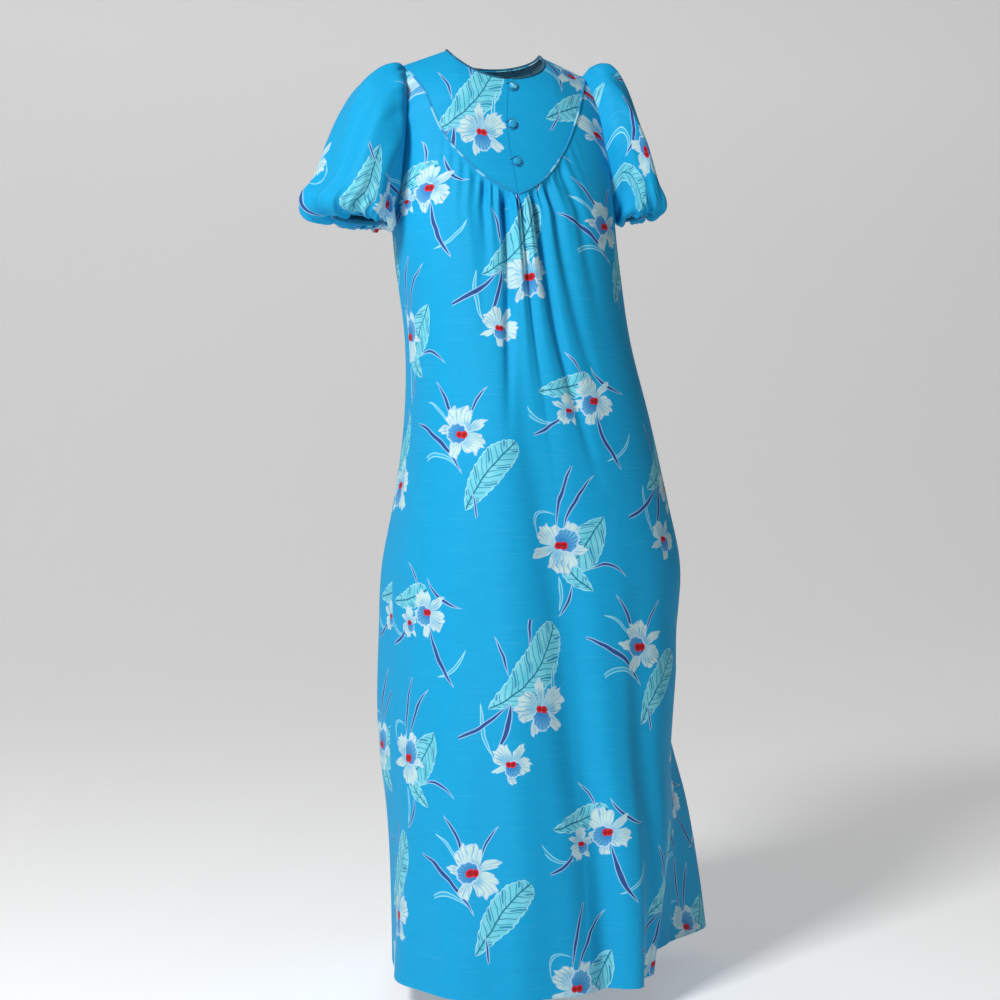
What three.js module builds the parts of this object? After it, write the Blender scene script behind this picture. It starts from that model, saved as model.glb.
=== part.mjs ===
// A full-length muumuu dress with a shield-shaped front yoke, gathered front,
// short puff sleeves and a slit at the neck closed by three covered buttons.
//
// Millimetres, +Z up. The dress stands as it is worn, hollow, and faces -Y.
// The origin is where the shoulders hold it: the middle of the neck opening, level
// with the neck points of the shoulder seams. +X is towards the wearer's left.
import * as THREE from 'three';
import { mergeVertices } from 'three/addons/utils/BufferGeometryUtils.js';

// Driving sizes
const clothThickness = 1.2;
const seamGap = 0.5;              // clear space between two pieces that are sewn together
const neck = { halfWidth: 76, frontDrop: 55, backDrop: 18 };
const shoulder = { tipX: 145, tipZ: -27, seamY: 5, crown: 6, roll: 90, turn: 1.8, fall: 0.85 };
const underarm = { x: 175, z: -258 };
const yokeCornerZ = -34;          // where the yoke seam runs into the armhole
const hemZ = -1408;
const squareness = 2.4;           // 2 is an ellipse, more is boxier
const foldPower = 1.2;            // how late along its length a fold deepens

// Girth of the dress at each level: the middle of the section, where the middle of the
// front hangs, the half width, and the reach to the front and back of the side seams.
const levels = [
  { z: 0, middle: 0, centre: 0, half: 176, front: 78, back: 92 },
  { z: -30, middle: 1.6, centre: 1.6, half: 176, front: 82, back: 96 },
  { z: -60, middle: 3.3, centre: -2, half: 176, front: 86, back: 99 },
  { z: -110, middle: 6, centre: -7, half: 176, front: 91, back: 106 },
  { z: -160, middle: 8.7, centre: -7, half: 176, front: 104, back: 112 },
  { z: -210, middle: 11.4, centre: -4, half: 175.5, front: 122, back: 114 },
  { z: -258, middle: 14, centre: -1, half: 175, front: 138, back: 113 },
  { z: -330, middle: 21, centre: 4, half: 175, front: 147, back: 116 },
  { z: -447, middle: 38, centre: 14, half: 175, front: 156, back: 130 },
  { z: -571, middle: 55, centre: 28, half: 190, front: 168, back: 150 },
  { z: -696, middle: 64, centre: 42, half: 209, front: 180, back: 168 },
  { z: -800, middle: 68, centre: 54, half: 225, front: 190, back: 180 },
  { z: -914, middle: 64, centre: 60, half: 219, front: 200, back: 190 },
  { z: -1070, middle: 62, centre: 62, half: 222, front: 216, back: 200 },
  { z: -1194, middle: 72, centre: 72, half: 227, front: 230, back: 206 },
  { z: -1319, middle: 73, centre: 73, half: 228, front: 243, back: 210 },
  { z: hemZ, middle: 71, centre: 71, half: 226, front: 252, back: 212 },
];

// Long folds of the skirt: the bearing of the fold's line at the hem, in degrees from
// the middle of the front towards the wearer's left, how far it drifts from there to its
// top, the level where it starts, how far it stands out at the hem, and its half spread.
const skirtFolds = [
  { bearing: -72, drift: 0, top: -1040, out: 32, spread: 14 },
  { bearing: -45, drift: 4, top: -880, out: 38, spread: 17 },
  { bearing: -14, drift: 2, top: -420, out: -13, spread: 6 },
  { bearing: 4, drift: 3, top: -560, out: 9, spread: 6 },
  { bearing: 24, drift: -4, top: -760, out: -19, spread: 13 },
  { bearing: 58, drift: 2, top: -960, out: -64, spread: 24 },
  { bearing: 81, drift: 0, top: -900, out: -24, spread: 9 },
  { bearing: 107, drift: -2, top: -820, out: 114, spread: 12 },
  { bearing: 127, drift: 0, top: -620, out: -24, spread: 9 },
  { bearing: 144, drift: 2, top: -520, out: 34, spread: 10 },
  { bearing: 163, drift: 0, top: -560, out: -24, spread: 8 },
  { bearing: 181, drift: -2, top: -480, out: 30, spread: 10 },
  { bearing: 200, drift: 0, top: -560, out: -26, spread: 8 },
  { bearing: 218, drift: -3, top: -520, out: 26, spread: 10 },
  { bearing: 244, drift: 0, top: -900, out: -16, spread: 12 },
];

// Broad swells of the hanging cloth: bearing, level, half height, height and half spread.
const swells = [
  { bearing: -116, level: -960, tall: 270, out: 24, spread: 24 },
  { bearing: 112, level: -760, tall: 200, out: 8, spread: 22 },
];

// The yoke seam, from the point at the middle front out to the armhole. Each row is a
// level, and how far out the right and the left half of the seam lie there.
const yokeSeam = [
  { z: -238, right: 0, left: 0 },
  { z: -225, right: 28, left: 26 },
  { z: -208, right: 53, left: 49 },
  { z: -182, right: 77, left: 72 },
  { z: -149, right: 101, left: 94 },
  { z: -112, right: 117, left: 110 },
  { z: -72, right: 129, left: 124 },
];

// Soft folds that fall from the gathers: where on the cloth they start (-1 and 1 are
// the side seams), their drift by the time they have faded, depth, spread and length.
const gatherFolds = [
  { at: -0.19, drift: -0.05, out: -9, spread: 0.045, length: 330 },
  { at: -0.33, drift: -0.05, out: -3.5, spread: 0.04, length: 240 },
  { at: -0.09, drift: -0.01, out: 5, spread: 0.05, length: 420 },
  { at: 0.02, drift: 0.0, out: -3, spread: 0.035, length: 380 },
  { at: 0.1, drift: 0.02, out: 5, spread: 0.045, length: 420 },
  { at: 0.19, drift: 0.05, out: -8, spread: 0.04, length: 400 },
  { at: 0.33, drift: 0.06, out: -4.5, spread: 0.04, length: 330 },
  { at: 0.46, drift: 0.05, out: -3, spread: 0.04, length: 220 },
];
const gathers = {
  waves: 14, depth: 2.6, reach: 0.52, rise: 12, fade: 60, drift: 0.5, driftRate: 5.3, driftStart: 1.1,
};

// Sleeves: each row is one ring of the puff, from the armhole to the cuff. out is the
// point on the outer arm, under the point on the underarm seam, deep the half depth.
const rightSleeveRings = [
  { outX: -160, outZ: -29, underX: -166, underZ: -262, deep: 70 },
  { outX: -183, outZ: -38, underX: -167, underZ: -266, deep: 78 },
  { outX: -212, outZ: -62, underX: -168, underZ: -269, deep: 86 },
  { outX: -237, outZ: -103, underX: -169, underZ: -272, deep: 91 },
  { outX: -258, outZ: -150, underX: -169, underZ: -275, deep: 93 },
  { outX: -280, outZ: -203, underX: -169, underZ: -277, deep: 91 },
  { outX: -303, outZ: -235, underX: -170, underZ: -278, deep: 84 },
  { outX: -297, outZ: -256, underX: -171, underZ: -279, deep: 72 },
  { outX: -274, outZ: -264, underX: -169, underZ: -274, deep: 60 },
  { outX: -256, outZ: -255, underX: -175, underZ: -265, deep: 47 },
];
const leftSleeveRings = [
  { outX: 162, outZ: -15, underX: 191, underZ: -259, deep: 70 },
  { outX: 184, outZ: -12, underX: 192, underZ: -259, deep: 76 },
  { outX: 208, outZ: -42, underX: 193, underZ: -259, deep: 82 },
  { outX: 230, outZ: -92, underX: 194, underZ: -259, deep: 86 },
  { outX: 244, outZ: -140, underX: 194.5, underZ: -259, deep: 88 },
  { outX: 257, outZ: -186, underX: 195, underZ: -259, deep: 86 },
  { outX: 270, outZ: -216, underX: 195, underZ: -259, deep: 80 },
  { outX: 273, outZ: -236, underX: 196, underZ: -258, deep: 70 },
  { outX: 263, outZ: -246, underX: 195.5, underZ: -254, deep: 60 },
  { outX: 251, outZ: -239, underX: 200, underZ: -246, deep: 47 },
];
const sleeveRoundness = 0.92;       // 1 is an ellipse, less is fuller at the corners

// Gathers of a sleeve. from, full, fading and to are shares of the way along it.
const capGathers = { waves: 9, depth: 2.4, spread: 1.1, full: 0.1, to: 0.55 };
const cuffGathers = { waves: 9, depth: 3, start: 1, from: 0.55, full: 0.85, fading: 0.93 };
const cuff = { height: 8, thickness: 1.6, inset: 0.3 };

// Cords and small pieces. lift is how far a cord's middle stands off the cloth, clear of
// its radius. from and to are shares of the seam or the neckline.
const piping = { radius: 1.5, lift: 0.35, clear: 0.4, from: 0.012, to: 0.985, steps: 34 };
const binding = { radius: 1.4, lift: 0.55, from: 0.035, toFront: 0.98, toBack: 0.94, steps: 52 };
const button = { radius: 6.6, height: 4.6, stand: 1, x: 7.5, levels: [-67, -127, -186] };
const loop = {
  radius: 0.8, lift: 1, tailX: -4.5, tailRise: 3.2, waistRise: 4.4, open: 128, clear: 0.4, steps: 20,
};
const cordSides = 5;

// Mesh density
const frontColumns = 64;
const frontUpperRows = 7;
const frontLowerLevels = [
  -268, -284, -308, -345, -395, -460, -540, -635, -745, -870, -1000, -1140, -1280, hemZ,
];
const backColumns = 16;             // in each half
const backUpperRows = 6;
const backLowerLevels = [
  -330, -420, -520, -630, -740, -860, -990, -1130, -1270, hemZ,
];
const yokeRows = 5;
const sleeveColumns = 34;
const sleeveRows = 10;

// Small helpers
const clamp = (v, low = 0, high = 1) => Math.min(high, Math.max(low, v));
const mix = (a, b, t) => a + (b - a) * t;
const ease = (t) => clamp(t) ** 2 * (3 - 2 * clamp(t));
const signedPower = (v, e) => Math.sign(v) * Math.abs(v) ** e;
const bump = (v) => Math.exp(-v * v);
const radians = (d) => (d * Math.PI) / 180;

// A smooth curve through values given at rising keys, by cubic Hermite pieces.
function through(keys, values, key) {
  let i = keys.length - 2;
  while (i > 0 && key < keys[i]) i--;
  const slope = (k) => {
    const a = Math.max(0, k - 1);
    const b = Math.min(keys.length - 1, k + 1);
    return (values[b] - values[a]) / (keys[b] - keys[a]);
  };
  const span = keys[i + 1] - keys[i];
  const t = clamp((key - keys[i]) / span);
  const t2 = t * t;
  const t3 = t2 * t;
  return (
    (2 * t3 - 3 * t2 + 1) * values[i] +
    (t3 - 2 * t2 + t) * span * slope(i) +
    (3 * t2 - 2 * t3) * values[i + 1] +
    (t3 - t2) * span * slope(i + 1)
  );
}

const levelKeys = levels.map((row) => -row.z);
const levelColumns = Object.fromEntries(
  Object.keys(levels[0]).map((name) => [name, levels.map((row) => row[name])]),
);
const levelAt = (name, z) => through(levelKeys, levelColumns[name], -z);

// How far along the section's edge a place lies to the front (side -1) or back (side 1).
function reachAt(x, z, side) {
  const share = clamp(Math.abs(x) / levelAt('half', z));
  const reach = levelAt(side < 0 ? 'front' : 'back', z);
  return side * reach * (1 - share ** squareness) ** (1 / squareness);
}

// The sway of the dress sideways at a place, x being measured from the section's middle.
function swayAt(x, z, side) {
  const middle = levelAt('middle', z);
  if (side > 0) return middle;
  return mix(levelAt('centre', z), middle, (x / levelAt('half', z)) ** 2);
}

// The form above the underarm, in x measured from the leaning middle
function shoulderHeight(x) {
  const past = Math.abs(x) - neck.halfWidth;
  if (past < 0) return shoulder.crown * (1 - (x / neck.halfWidth) ** 2);
  return (shoulder.tipZ * past) / (shoulder.tipX - neck.halfWidth);
}

// The cloth leaves the shoulder seam level and turns down to the section's edge.
function surfaceY(x, z, side) {
  const drop = clamp((shoulderHeight(x) - z) / shoulder.roll);
  const turned = (1 - (1 - drop) ** shoulder.turn) ** shoulder.fall;
  return mix(shoulder.seamY, reachAt(x, z, side), turned) + (side * seamGap) / 2;
}

function onForm(x, z, side) {
  return new THREE.Vector3(x + swayAt(x, z, side), surfaceY(x, z, side), z);
}

// The direction out of the form at a place, from close neighbours.
function outwardAt(x, z, side) {
  const step = 0.5;
  const across = onForm(x + step, z, side).sub(onForm(x - step, z, side));
  const down = onForm(x, z - step, side).sub(onForm(x, z + step, side));
  return across.cross(down).normalize().multiplyScalar(side);
}

// A point of the form that knows its own way into the cloth.
function clothPoint(x, z, side) {
  const point = onForm(x, z, side);
  point.inward = outwardAt(x, z, side).negate();
  return point;
}

// The armhole is flat: turn 0 is the underarm and pi is the tip of the shoulder.
function armholeAt(turn) {
  const share = (1 - Math.cos(turn)) / 2;
  return {
    x: mix(underarm.x, shoulder.tipX, share),
    z: mix(underarm.z, shoulder.tipZ, share),
  };
}

const seamCorner = (() => {
  const share = (yokeCornerZ - underarm.z) / (shoulder.tipZ - underarm.z);
  return { x: mix(underarm.x, shoulder.tipX, share), z: yokeCornerZ };
})();
const seamCurve = (hand) =>
  new THREE.SplineCurve([
    ...yokeSeam.map((row) => new THREE.Vector2(row[hand], row.z)),
    new THREE.Vector2(seamCorner.x, seamCorner.z),
  ]);
const yokeSeamCurves = { right: seamCurve('right'), left: seamCurve('left') };

const cornerSharpness = 12;

// A point of the yoke seam: along is -1 at the right armhole, 0 at the point and 1 at
// the left armhole, and away moves it square to the seam, upwards if positive.
function yokeSeamAt(along, away) {
  const share = clamp(Math.abs(along));
  const curve = along < 0 ? yokeSeamCurves.right : yokeSeamCurves.left;
  const point = curve.getPointAt(share);
  const heading = curve.getTangentAt(share);
  // Square to the seam, but at the corner along the armhole, where both pieces end.
  const corner = share ** cornerSharpness;
  const rise = underarm.z - shoulder.tipZ;
  const slope = (underarm.x - shoulder.tipX) / rise;
  point.x += away * mix(-heading.y, slope, corner);
  point.y += away * mix(heading.x, 1, corner);
  if (share === 0) point.x = 0;
  return { x: (along < 0 ? -1 : 1) * point.x, z: point.y };
}

// Neckline and shoulder seam from the middle (0) to the tip of the shoulder (1).
const neckShare = 0.55;
function topEdgeAt(share, drop) {
  if (share < neckShare) {
    const turn = (share / neckShare) * (Math.PI / 2);
    return { x: neck.halfWidth * Math.sin(turn), z: -drop * Math.cos(turn) };
  }
  const out = (share - neckShare) / (1 - neckShare);
  return { x: mix(neck.halfWidth, shoulder.tipX, out), z: mix(0, shoulder.tipZ, out) };
}

// The form below the underarm
const degreesApart = (a, b) => a - b - 360 * Math.round((a - b) / 360);

function foldsAt(bearing, z) {
  let out = 0;
  for (const fold of skirtFolds) {
    const grown = clamp((fold.top - z) / (fold.top - hemZ));
    const line = fold.bearing + fold.drift * (1 - grown);
    out += fold.out * grown ** foldPower * bump(degreesApart(bearing, line) / fold.spread);
  }
  for (const swell of swells) {
    const near = bump(degreesApart(bearing, swell.bearing) / swell.spread);
    out += swell.out * near * bump((z - swell.level) / swell.tall);
  }
  return out;
}

// A place on the skirt: across is -1 to 1 from the right side seam to the left one.
function girthAt(across, z, side) {
  const half = levelAt('half', z);
  const share = Math.sin((across * Math.PI) / 2);
  const x = half * share;
  const y = reachAt(x, z, side);
  const reach = levelAt(side < 0 ? 'front' : 'back', z);
  const normal = new THREE.Vector2(
    signedPower(share, squareness - 1) / half,
    signedPower(y / reach, squareness - 1) / reach,
  ).normalize();
  const turn = (Math.asin(Math.abs(share) ** (squareness / 2)) * 180) / Math.PI;
  const bearing = Math.sign(across) * (side < 0 ? turn : 180 - turn);
  const out = foldsAt(bearing, z);
  return new THREE.Vector3(
    swayAt(x, z, side) + x + normal.x * out,
    y + normal.y * out + (side * seamGap) / 2,
    z,
  );
}

// From the cut cloth to the form
// at is the place across the front, -1 to 1 from side seam to side seam. The gathers
// crowd the cloth towards the middle at the yoke, and let go of it further down.
const crowding = { share: 0.2, pull: 4, from: -260, to: -800 };

function crowd(at, hold) {
  const pulled = Math.tanh(crowding.pull * at) / Math.tanh(crowding.pull);
  return (1 + hold) * at - hold * pulled;
}

function frontAcross(at, z) {
  const held = 1 - ease((z - crowding.from) / (crowding.to - crowding.from));
  return crowd(at, crowding.share * held);
}

const sideX = (across) => underarm.x * Math.sin((across * Math.PI) / 2);

function frontUpperAt(at, up) {
  const bottom = sideX(frontAcross(at, underarm.z));
  const top = yokeSeamAt(crowd(at, crowding.share), -seamGap / 2);
  const corner = Math.acos(1 - (2 * (yokeCornerZ - underarm.z)) / (shoulder.tipZ - underarm.z));
  const share = (1 - Math.cos(corner * up)) / (1 - Math.cos(corner));
  return clothPoint(mix(bottom, top.x, share), mix(underarm.z, top.z, share), -1);
}

// How far the gathers push the cloth out, at a place on the cloth and a distance
// below the yoke seam.
function gathersAt(at, below) {
  let out = 0;
  const rise = 1 - Math.exp(-((below / gathers.rise) ** 2));
  for (const fold of gatherFolds) {
    const share = clamp(below / fold.length);
    const line = fold.at + fold.drift * share;
    out += fold.out * rise * (1 - share) ** foldPower * bump((at - line) / fold.spread);
  }
  const held = bump((Math.abs(at) / gathers.reach) ** 2);
  const uneven = gathers.drift * Math.sin(gathers.driftRate * at + gathers.driftStart);
  const ripple = Math.cos(2 * Math.PI * gathers.waves * at + uneven);
  return out + gathers.depth * held * rise * Math.exp(-below / gathers.fade) * ripple;
}

// Walls
// Directions into the cloth. hold(i, j) names the axis, if any, along which a point on
// a seam must not move, so that the pieces on both sides of it stay apart.
function inwardNormals(grid, around, hold) {
  return grid.map((row, i) =>
    row.map((_, j) => {
      const n = row.length;
      const left = around ? (j + n - 1) % n : Math.max(0, j - 1);
      const right = around ? (j + 1) % n : Math.min(n - 1, j + 1);
      const across = row[right].clone().sub(row[left]);
      const above = grid[Math.max(0, i - 1)][j];
      const under = grid[Math.min(grid.length - 1, i + 1)][j];
      const inward = grid[i][j].inward?.clone() ?? across.cross(under.clone().sub(above));
      const axis = hold(i, j);
      if (axis) inward[axis] = 0;
      return inward.normalize();
    }),
  );
}

// A closed wall between an outer and an inner grid of points, rows from top to bottom.
function wallBetween(outer, inner, around = false) {
  const rows = outer.length;
  const columns = outer[0].length;
  const points = [...outer.flat(), ...inner.flat()];
  const back = rows * columns;
  const index = [];
  const at = (i, j) => i * columns + (j % columns);
  const quad = (a, b, c, d) => index.push(a, b, c, a, c, d);
  const spans = around ? columns : columns - 1;
  for (let i = 0; i < rows - 1; i++) {
    for (let j = 0; j < spans; j++) {
      quad(at(i, j), at(i + 1, j), at(i + 1, j + 1), at(i, j + 1));
      quad(
        back + at(i, j), back + at(i, j + 1), back + at(i + 1, j + 1), back + at(i + 1, j),
      );
    }
  }
  for (let j = 0; j < spans; j++) {
    quad(at(0, j), at(0, j + 1), back + at(0, j + 1), back + at(0, j));
    const end = rows - 1;
    quad(at(end, j + 1), at(end, j), back + at(end, j), back + at(end, j + 1));
  }
  if (!around) {
    const last = columns - 1;
    for (let i = 0; i < rows - 1; i++) {
      quad(at(i + 1, 0), at(i, 0), back + at(i, 0), back + at(i + 1, 0));
      quad(at(i, last), at(i + 1, last), back + at(i + 1, last), back + at(i, last));
    }
  }
  const geometry = new THREE.BufferGeometry();
  geometry.setAttribute(
    'position',
    new THREE.Float32BufferAttribute(points.flatMap((p) => [p.x, p.y, p.z]), 3),
  );
  geometry.setIndex(index);
  return geometry;
}

// A wall of cloth on a base grid: ripple(i, j) pushes a point out along the base's
// normal, and the inner side lies one thickness inside it.
function clothWall(base, { ripple = () => 0, around = false, hold = () => '' } = {}) {
  const inward = inwardNormals(base, around, hold);
  const push = (row, i, extra) =>
    row.map((p, j) => p.clone().addScaledVector(inward[i][j], extra - ripple(i, j)));
  const outer = base.map((row, i) => push(row, i, 0));
  const inner = base.map((row, i) => push(row, i, clothThickness));
  return wallBetween(outer, inner, around);
}

function spaced(count, from = 0, to = 1) {
  return Array.from({ length: count + 1 }, (_, k) => mix(from, to, k / count));
}

// Materials
const printed = (name) =>
  new THREE.MeshStandardMaterial({ name, color: 0x0a9bd0, roughness: 0.72, metalness: 0 });
const materials = {
  cloth: printed('printed_cloth'),
  yoke: printed('yoke_cloth'),
  piping: new THREE.MeshStandardMaterial({ color: 0x1187b8, roughness: 0.7, metalness: 0 }),
  binding: new THREE.MeshStandardMaterial({ color: 0x17647c, roughness: 0.7, metalness: 0 }),
  button: new THREE.MeshStandardMaterial({ color: 0x1a9fd2, roughness: 0.6, metalness: 0 }),
};

const dress = new THREE.Group();
function add(name, geometry, material) {
  geometry.computeVertexNormals();
  const mesh = new THREE.Mesh(geometry, material);
  mesh.name = name;
  dress.add(mesh);
  return mesh;
}

// Front: one panel from the gathered yoke seam and the armholes to the hem
// Columns stand closer together where the cloth is gathered.
const closeness = { share: 0.48, power: 1.2 };
const frontPlace = (u) => mix(u, u * Math.abs(u) ** closeness.power, closeness.share);

function frontPanel() {
  const places = spaced(frontColumns, -1, 1).map(frontPlace);
  const upper = spaced(frontUpperRows, 1, 0).map((up) =>
    places.map((at) => frontUpperAt(at, up)),
  );
  const lower = frontLowerLevels.map((z) => places.map((at) => girthAt(frontAcross(at, z), z, -1)));
  const base = [...upper, ...lower];
  const below = base.map((row) => row.map((p, j) => p.distanceTo(base[0][j])));
  const atSideSeam = (i, j) => i >= frontUpperRows && (j === 0 || j === frontColumns);
  return clothWall(base, {
    ripple: (i, j) => gathersAt(places[j], below[i][j]),
    hold: (i, j) => (atSideSeam(i, j) ? 'y' : ''),
  });
}

// Back: two plain panels from the neck and shoulder seams to the hem, joined by a seam
// down the middle of the back
function backUpperAt(across, up) {
  const top = topEdgeAt(Math.abs(across), neck.backDrop);
  const share = (1 - Math.cos(Math.PI * up)) / 2;
  const topX = Math.sign(across) * top.x;
  return clothPoint(mix(sideX(across), topX, share), mix(underarm.z, top.z, share), 1);
}

function backHalf(hand) {
  // Seen from behind, the left half runs in from its side seam and the right half out.
  const places = spaced(backColumns, 0, hand);
  if (hand > 0) places.reverse();
  const atMiddle = (j) => places[j] === 0;
  const atSide = (j) => Math.abs(places[j]) === 1;
  const upper = spaced(backUpperRows, 1, 0).map((up) => places.map((at) => backUpperAt(at, up)));
  const lower = backLowerLevels.map((z) => places.map((at) => girthAt(at, z, 1)));
  const base = [...upper, ...lower];
  for (const row of base) row[places.indexOf(0)].x += (hand * seamGap) / 2;
  return clothWall(base, {
    hold: (i, j) => {
      if (atMiddle(j)) return 'x';
      const onShoulder = i === 0 && Math.abs(places[j]) >= neckShare;
      return onShoulder || (i >= backUpperRows && atSide(j)) ? 'y' : '';
    },
  });
}

// Yoke: two halves that meet at the slit in the middle of the front
const yokeRise = 1.6;             // rows stand closer together under the neckline

function yokeHalf(side) {
  const shares = spaced(frontColumns / 2).map((u) => crowd(frontPlace(u), crowding.share));
  if (side < 0) shares.reverse();
  const base = spaced(yokeRows, 1, 0).map((up) =>
    shares.map((share) => {
      const seam = yokeSeamAt(side * share, seamGap / 2);
      const top = topEdgeAt(share, neck.frontDrop);
      const rise = 1 - (1 - up) ** yokeRise;
      const x = Math.max(mix(Math.abs(seam.x), top.x, rise), seamGap / 2);
      return clothPoint(side * x, mix(seam.z, top.z, rise), -1);
    }),
  );
  const hold = (i, j) => {
    if (shares[j] === 0) return 'x';
    return i === 0 && shares[j] >= neckShare ? 'y' : '';
  };
  return clothWall(base, { hold });
}

// Sleeves
function armholePoint(turn, hand) {
  const onFront = turn <= Math.PI;
  const { x, z } = armholeAt(Math.PI - (onFront ? turn : 2 * Math.PI - turn));
  const side = onFront ? -1 : 1;
  const point = onForm(hand * x, z, side);
  point.x += hand * seamGap;
  return point;
}

function sleeveAt(rings, hand, turn, along) {
  const points = [armholePoint(turn, hand)];
  for (const ring of rings) {
    const c = Math.cos(turn);
    const s = signedPower(Math.sin(turn), sleeveRoundness);
    points.push(
      new THREE.Vector3(
        mix(ring.underX, ring.outX, (1 + c) / 2),
        -ring.deep * s,
        mix(ring.underZ, ring.outZ, (1 + c) / 2),
      ),
    );
  }
  const keys = points.map((_, k) => k);
  const place = along * rings.length;
  const read = (name) => through(keys, points.map((p) => p[name]), place);
  return new THREE.Vector3(read('x'), read('y'), read('z'));
}

function sleeveRipple(turn, along) {
  const { waves, depth, start, from, full, fading } = cuffGathers;
  const top = bump(Math.atan2(Math.sin(turn), Math.cos(turn)) / capGathers.spread);
  const cap = capGathers.depth * top * Math.sin(capGathers.waves * turn);
  const capFade = ease(along / capGathers.full) * (1 - ease(along / capGathers.to));
  const end = depth * Math.sin(waves * turn + start);
  const endFade = ease((along - from) / (full - from)) * (1 - ease((along - fading) / (1 - fading)));
  return cap * capFade + end * endFade;
}

function sleeveBase(rings, hand) {
  // Seen from outside, the columns run from left to right on either side.
  const turns = spaced(sleeveColumns, 0, 2 * Math.PI).slice(0, -1);
  if (hand > 0) turns.reverse();
  const alongs = spaced(sleeveRows);
  const base = alongs.map((along) => turns.map((turn) => sleeveAt(rings, hand, turn, along)));
  return { base, turns, alongs };
}

function sleeve(rings, hand) {
  const { base, turns, alongs } = sleeveBase(rings, hand);
  return clothWall(base, { around: true, ripple: (i, j) => sleeveRipple(turns[j], alongs[i]) });
}

// A narrow band under the last ring of the sleeve, holding its gathers.
function cuffBand(rings, hand) {
  const { base } = sleeveBase(rings, hand);
  const end = base[base.length - 1];
  const middle = end.reduce((sum, p) => sum.add(p), new THREE.Vector3());
  middle.divideScalar(end.length);
  const across = end[0].clone().sub(middle);
  const along = end[Math.round(end.length / 4)].clone().sub(middle);
  const down = across.cross(along).normalize();
  if (down.z > 0) down.negate();
  const ring = (out, low) =>
    end.map((p) => {
      const outward = p.clone().sub(middle).normalize();
      return p.clone().addScaledVector(outward, out).addScaledVector(down, low);
    });
  const low = seamGap + cuff.height;
  return wallBetween(
    [ring(-cuff.inset, seamGap), ring(-cuff.inset, low)],
    [ring(-cuff.inset - cuff.thickness, seamGap), ring(-cuff.inset - cuff.thickness, low)],
    true,
  );
}

// Cords and small pieces
function tube(points, radius, steps) {
  const path = new THREE.CatmullRomCurve3(points, false, 'centripetal');
  const section = new THREE.Shape();
  for (let k = 0; k < cordSides; k++) {
    const turn = (2 * Math.PI * k) / cordSides;
    const at = [radius * Math.cos(turn), radius * Math.sin(turn)];
    if (k === 0) section.moveTo(...at);
    else section.lineTo(...at);
  }
  section.closePath();
  return new THREE.ExtrudeGeometry(section, {
    steps, extrudePath: path, bevelEnabled: false, curveSegments: 1,
  });
}

function sealed(geometry) {
  const bare = new THREE.BufferGeometry();
  bare.setAttribute('position', geometry.getAttribute('position'));
  if (geometry.index) bare.setIndex(geometry.index);
  return mergeVertices(bare, 1e-3);
}

function yokePiping(side) {
  const lift = piping.radius + piping.lift;
  const points = spaced(22, piping.from, piping.to).map((share) => {
    const seam = yokeSeamAt(side * share, 0);
    const x = side * Math.max(Math.abs(seam.x), piping.radius + piping.clear);
    return onForm(x, seam.z, -1).addScaledVector(outwardAt(x, seam.z, -1), lift);
  });
  return tube(points, piping.radius, piping.steps);
}

function neckBinding() {
  const lift = binding.radius + binding.lift;
  const lean = 0.35;                // the cord stands on the edge, and leans into the neck
  const middle = { x: 0, y: -12 };
  const edgePoint = (share, side, hand) => {
    const edge = topEdgeAt(share * neckShare, side < 0 ? neck.frontDrop : neck.backDrop);
    const point = onForm(hand * edge.x, edge.z, side);
    const towards = new THREE.Vector3(middle.x - point.x, middle.y - point.y, 0);
    towards.setLength(lean).setZ(1).setLength(lift);
    return point.add(towards);
  };
  const frontShares = spaced(9, binding.from, binding.toFront);
  const backShares = spaced(7, binding.toBack, 0);
  const points = [
    ...frontShares.map((share) => edgePoint(share, -1, 1)),
    ...backShares.map((share) => edgePoint(share, 1, 1)),
    ...backShares.reverse().slice(1).map((share) => edgePoint(share, 1, -1)),
    ...frontShares.reverse().map((share) => edgePoint(share, -1, -1)),
  ];
  return tube(points, binding.radius, binding.steps);
}

// The domed section of a covered button, in shares of its radius and its height.
const buttonSection = [
  [0, 0], [0.62, 0], [0.94, 0.2], [1, 0.42], [0.9, 0.68], [0.62, 0.9], [0, 1],
];

function buttonAt(z) {
  const outward = outwardAt(button.x, z, -1);
  const lathe = new THREE.LatheGeometry(
    buttonSection.map(([r, h]) => new THREE.Vector2(r * button.radius, h * button.height)),
    14,
  );
  lathe.applyQuaternion(
    new THREE.Quaternion().setFromUnitVectors(new THREE.Vector3(0, 1, 0), outward),
  );
  const seat = onForm(button.x, z, -1).addScaledVector(outward, button.stand);
  lathe.translate(seat.x, seat.y, seat.z);
  return sealed(lathe);
}

function buttonLoop(z) {
  const reach = button.radius + loop.radius + loop.clear;
  const lift = loop.radius + loop.lift;
  const turns = spaced(8, radians(loop.open), radians(-loop.open));
  const flat = [
    [loop.tailX, loop.tailRise],
    [button.x - reach, loop.waistRise],
    ...turns.map((turn) => [button.x + reach * Math.cos(turn), reach * Math.sin(turn)]),
    [button.x - reach, -loop.waistRise],
    [loop.tailX, -loop.tailRise],
  ];
  const points = flat.map(([x, rise]) =>
    onForm(x, z + rise, -1).addScaledVector(outwardAt(x, z + rise, -1), lift),
  );
  return tube(points, loop.radius, loop.steps);
}

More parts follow.
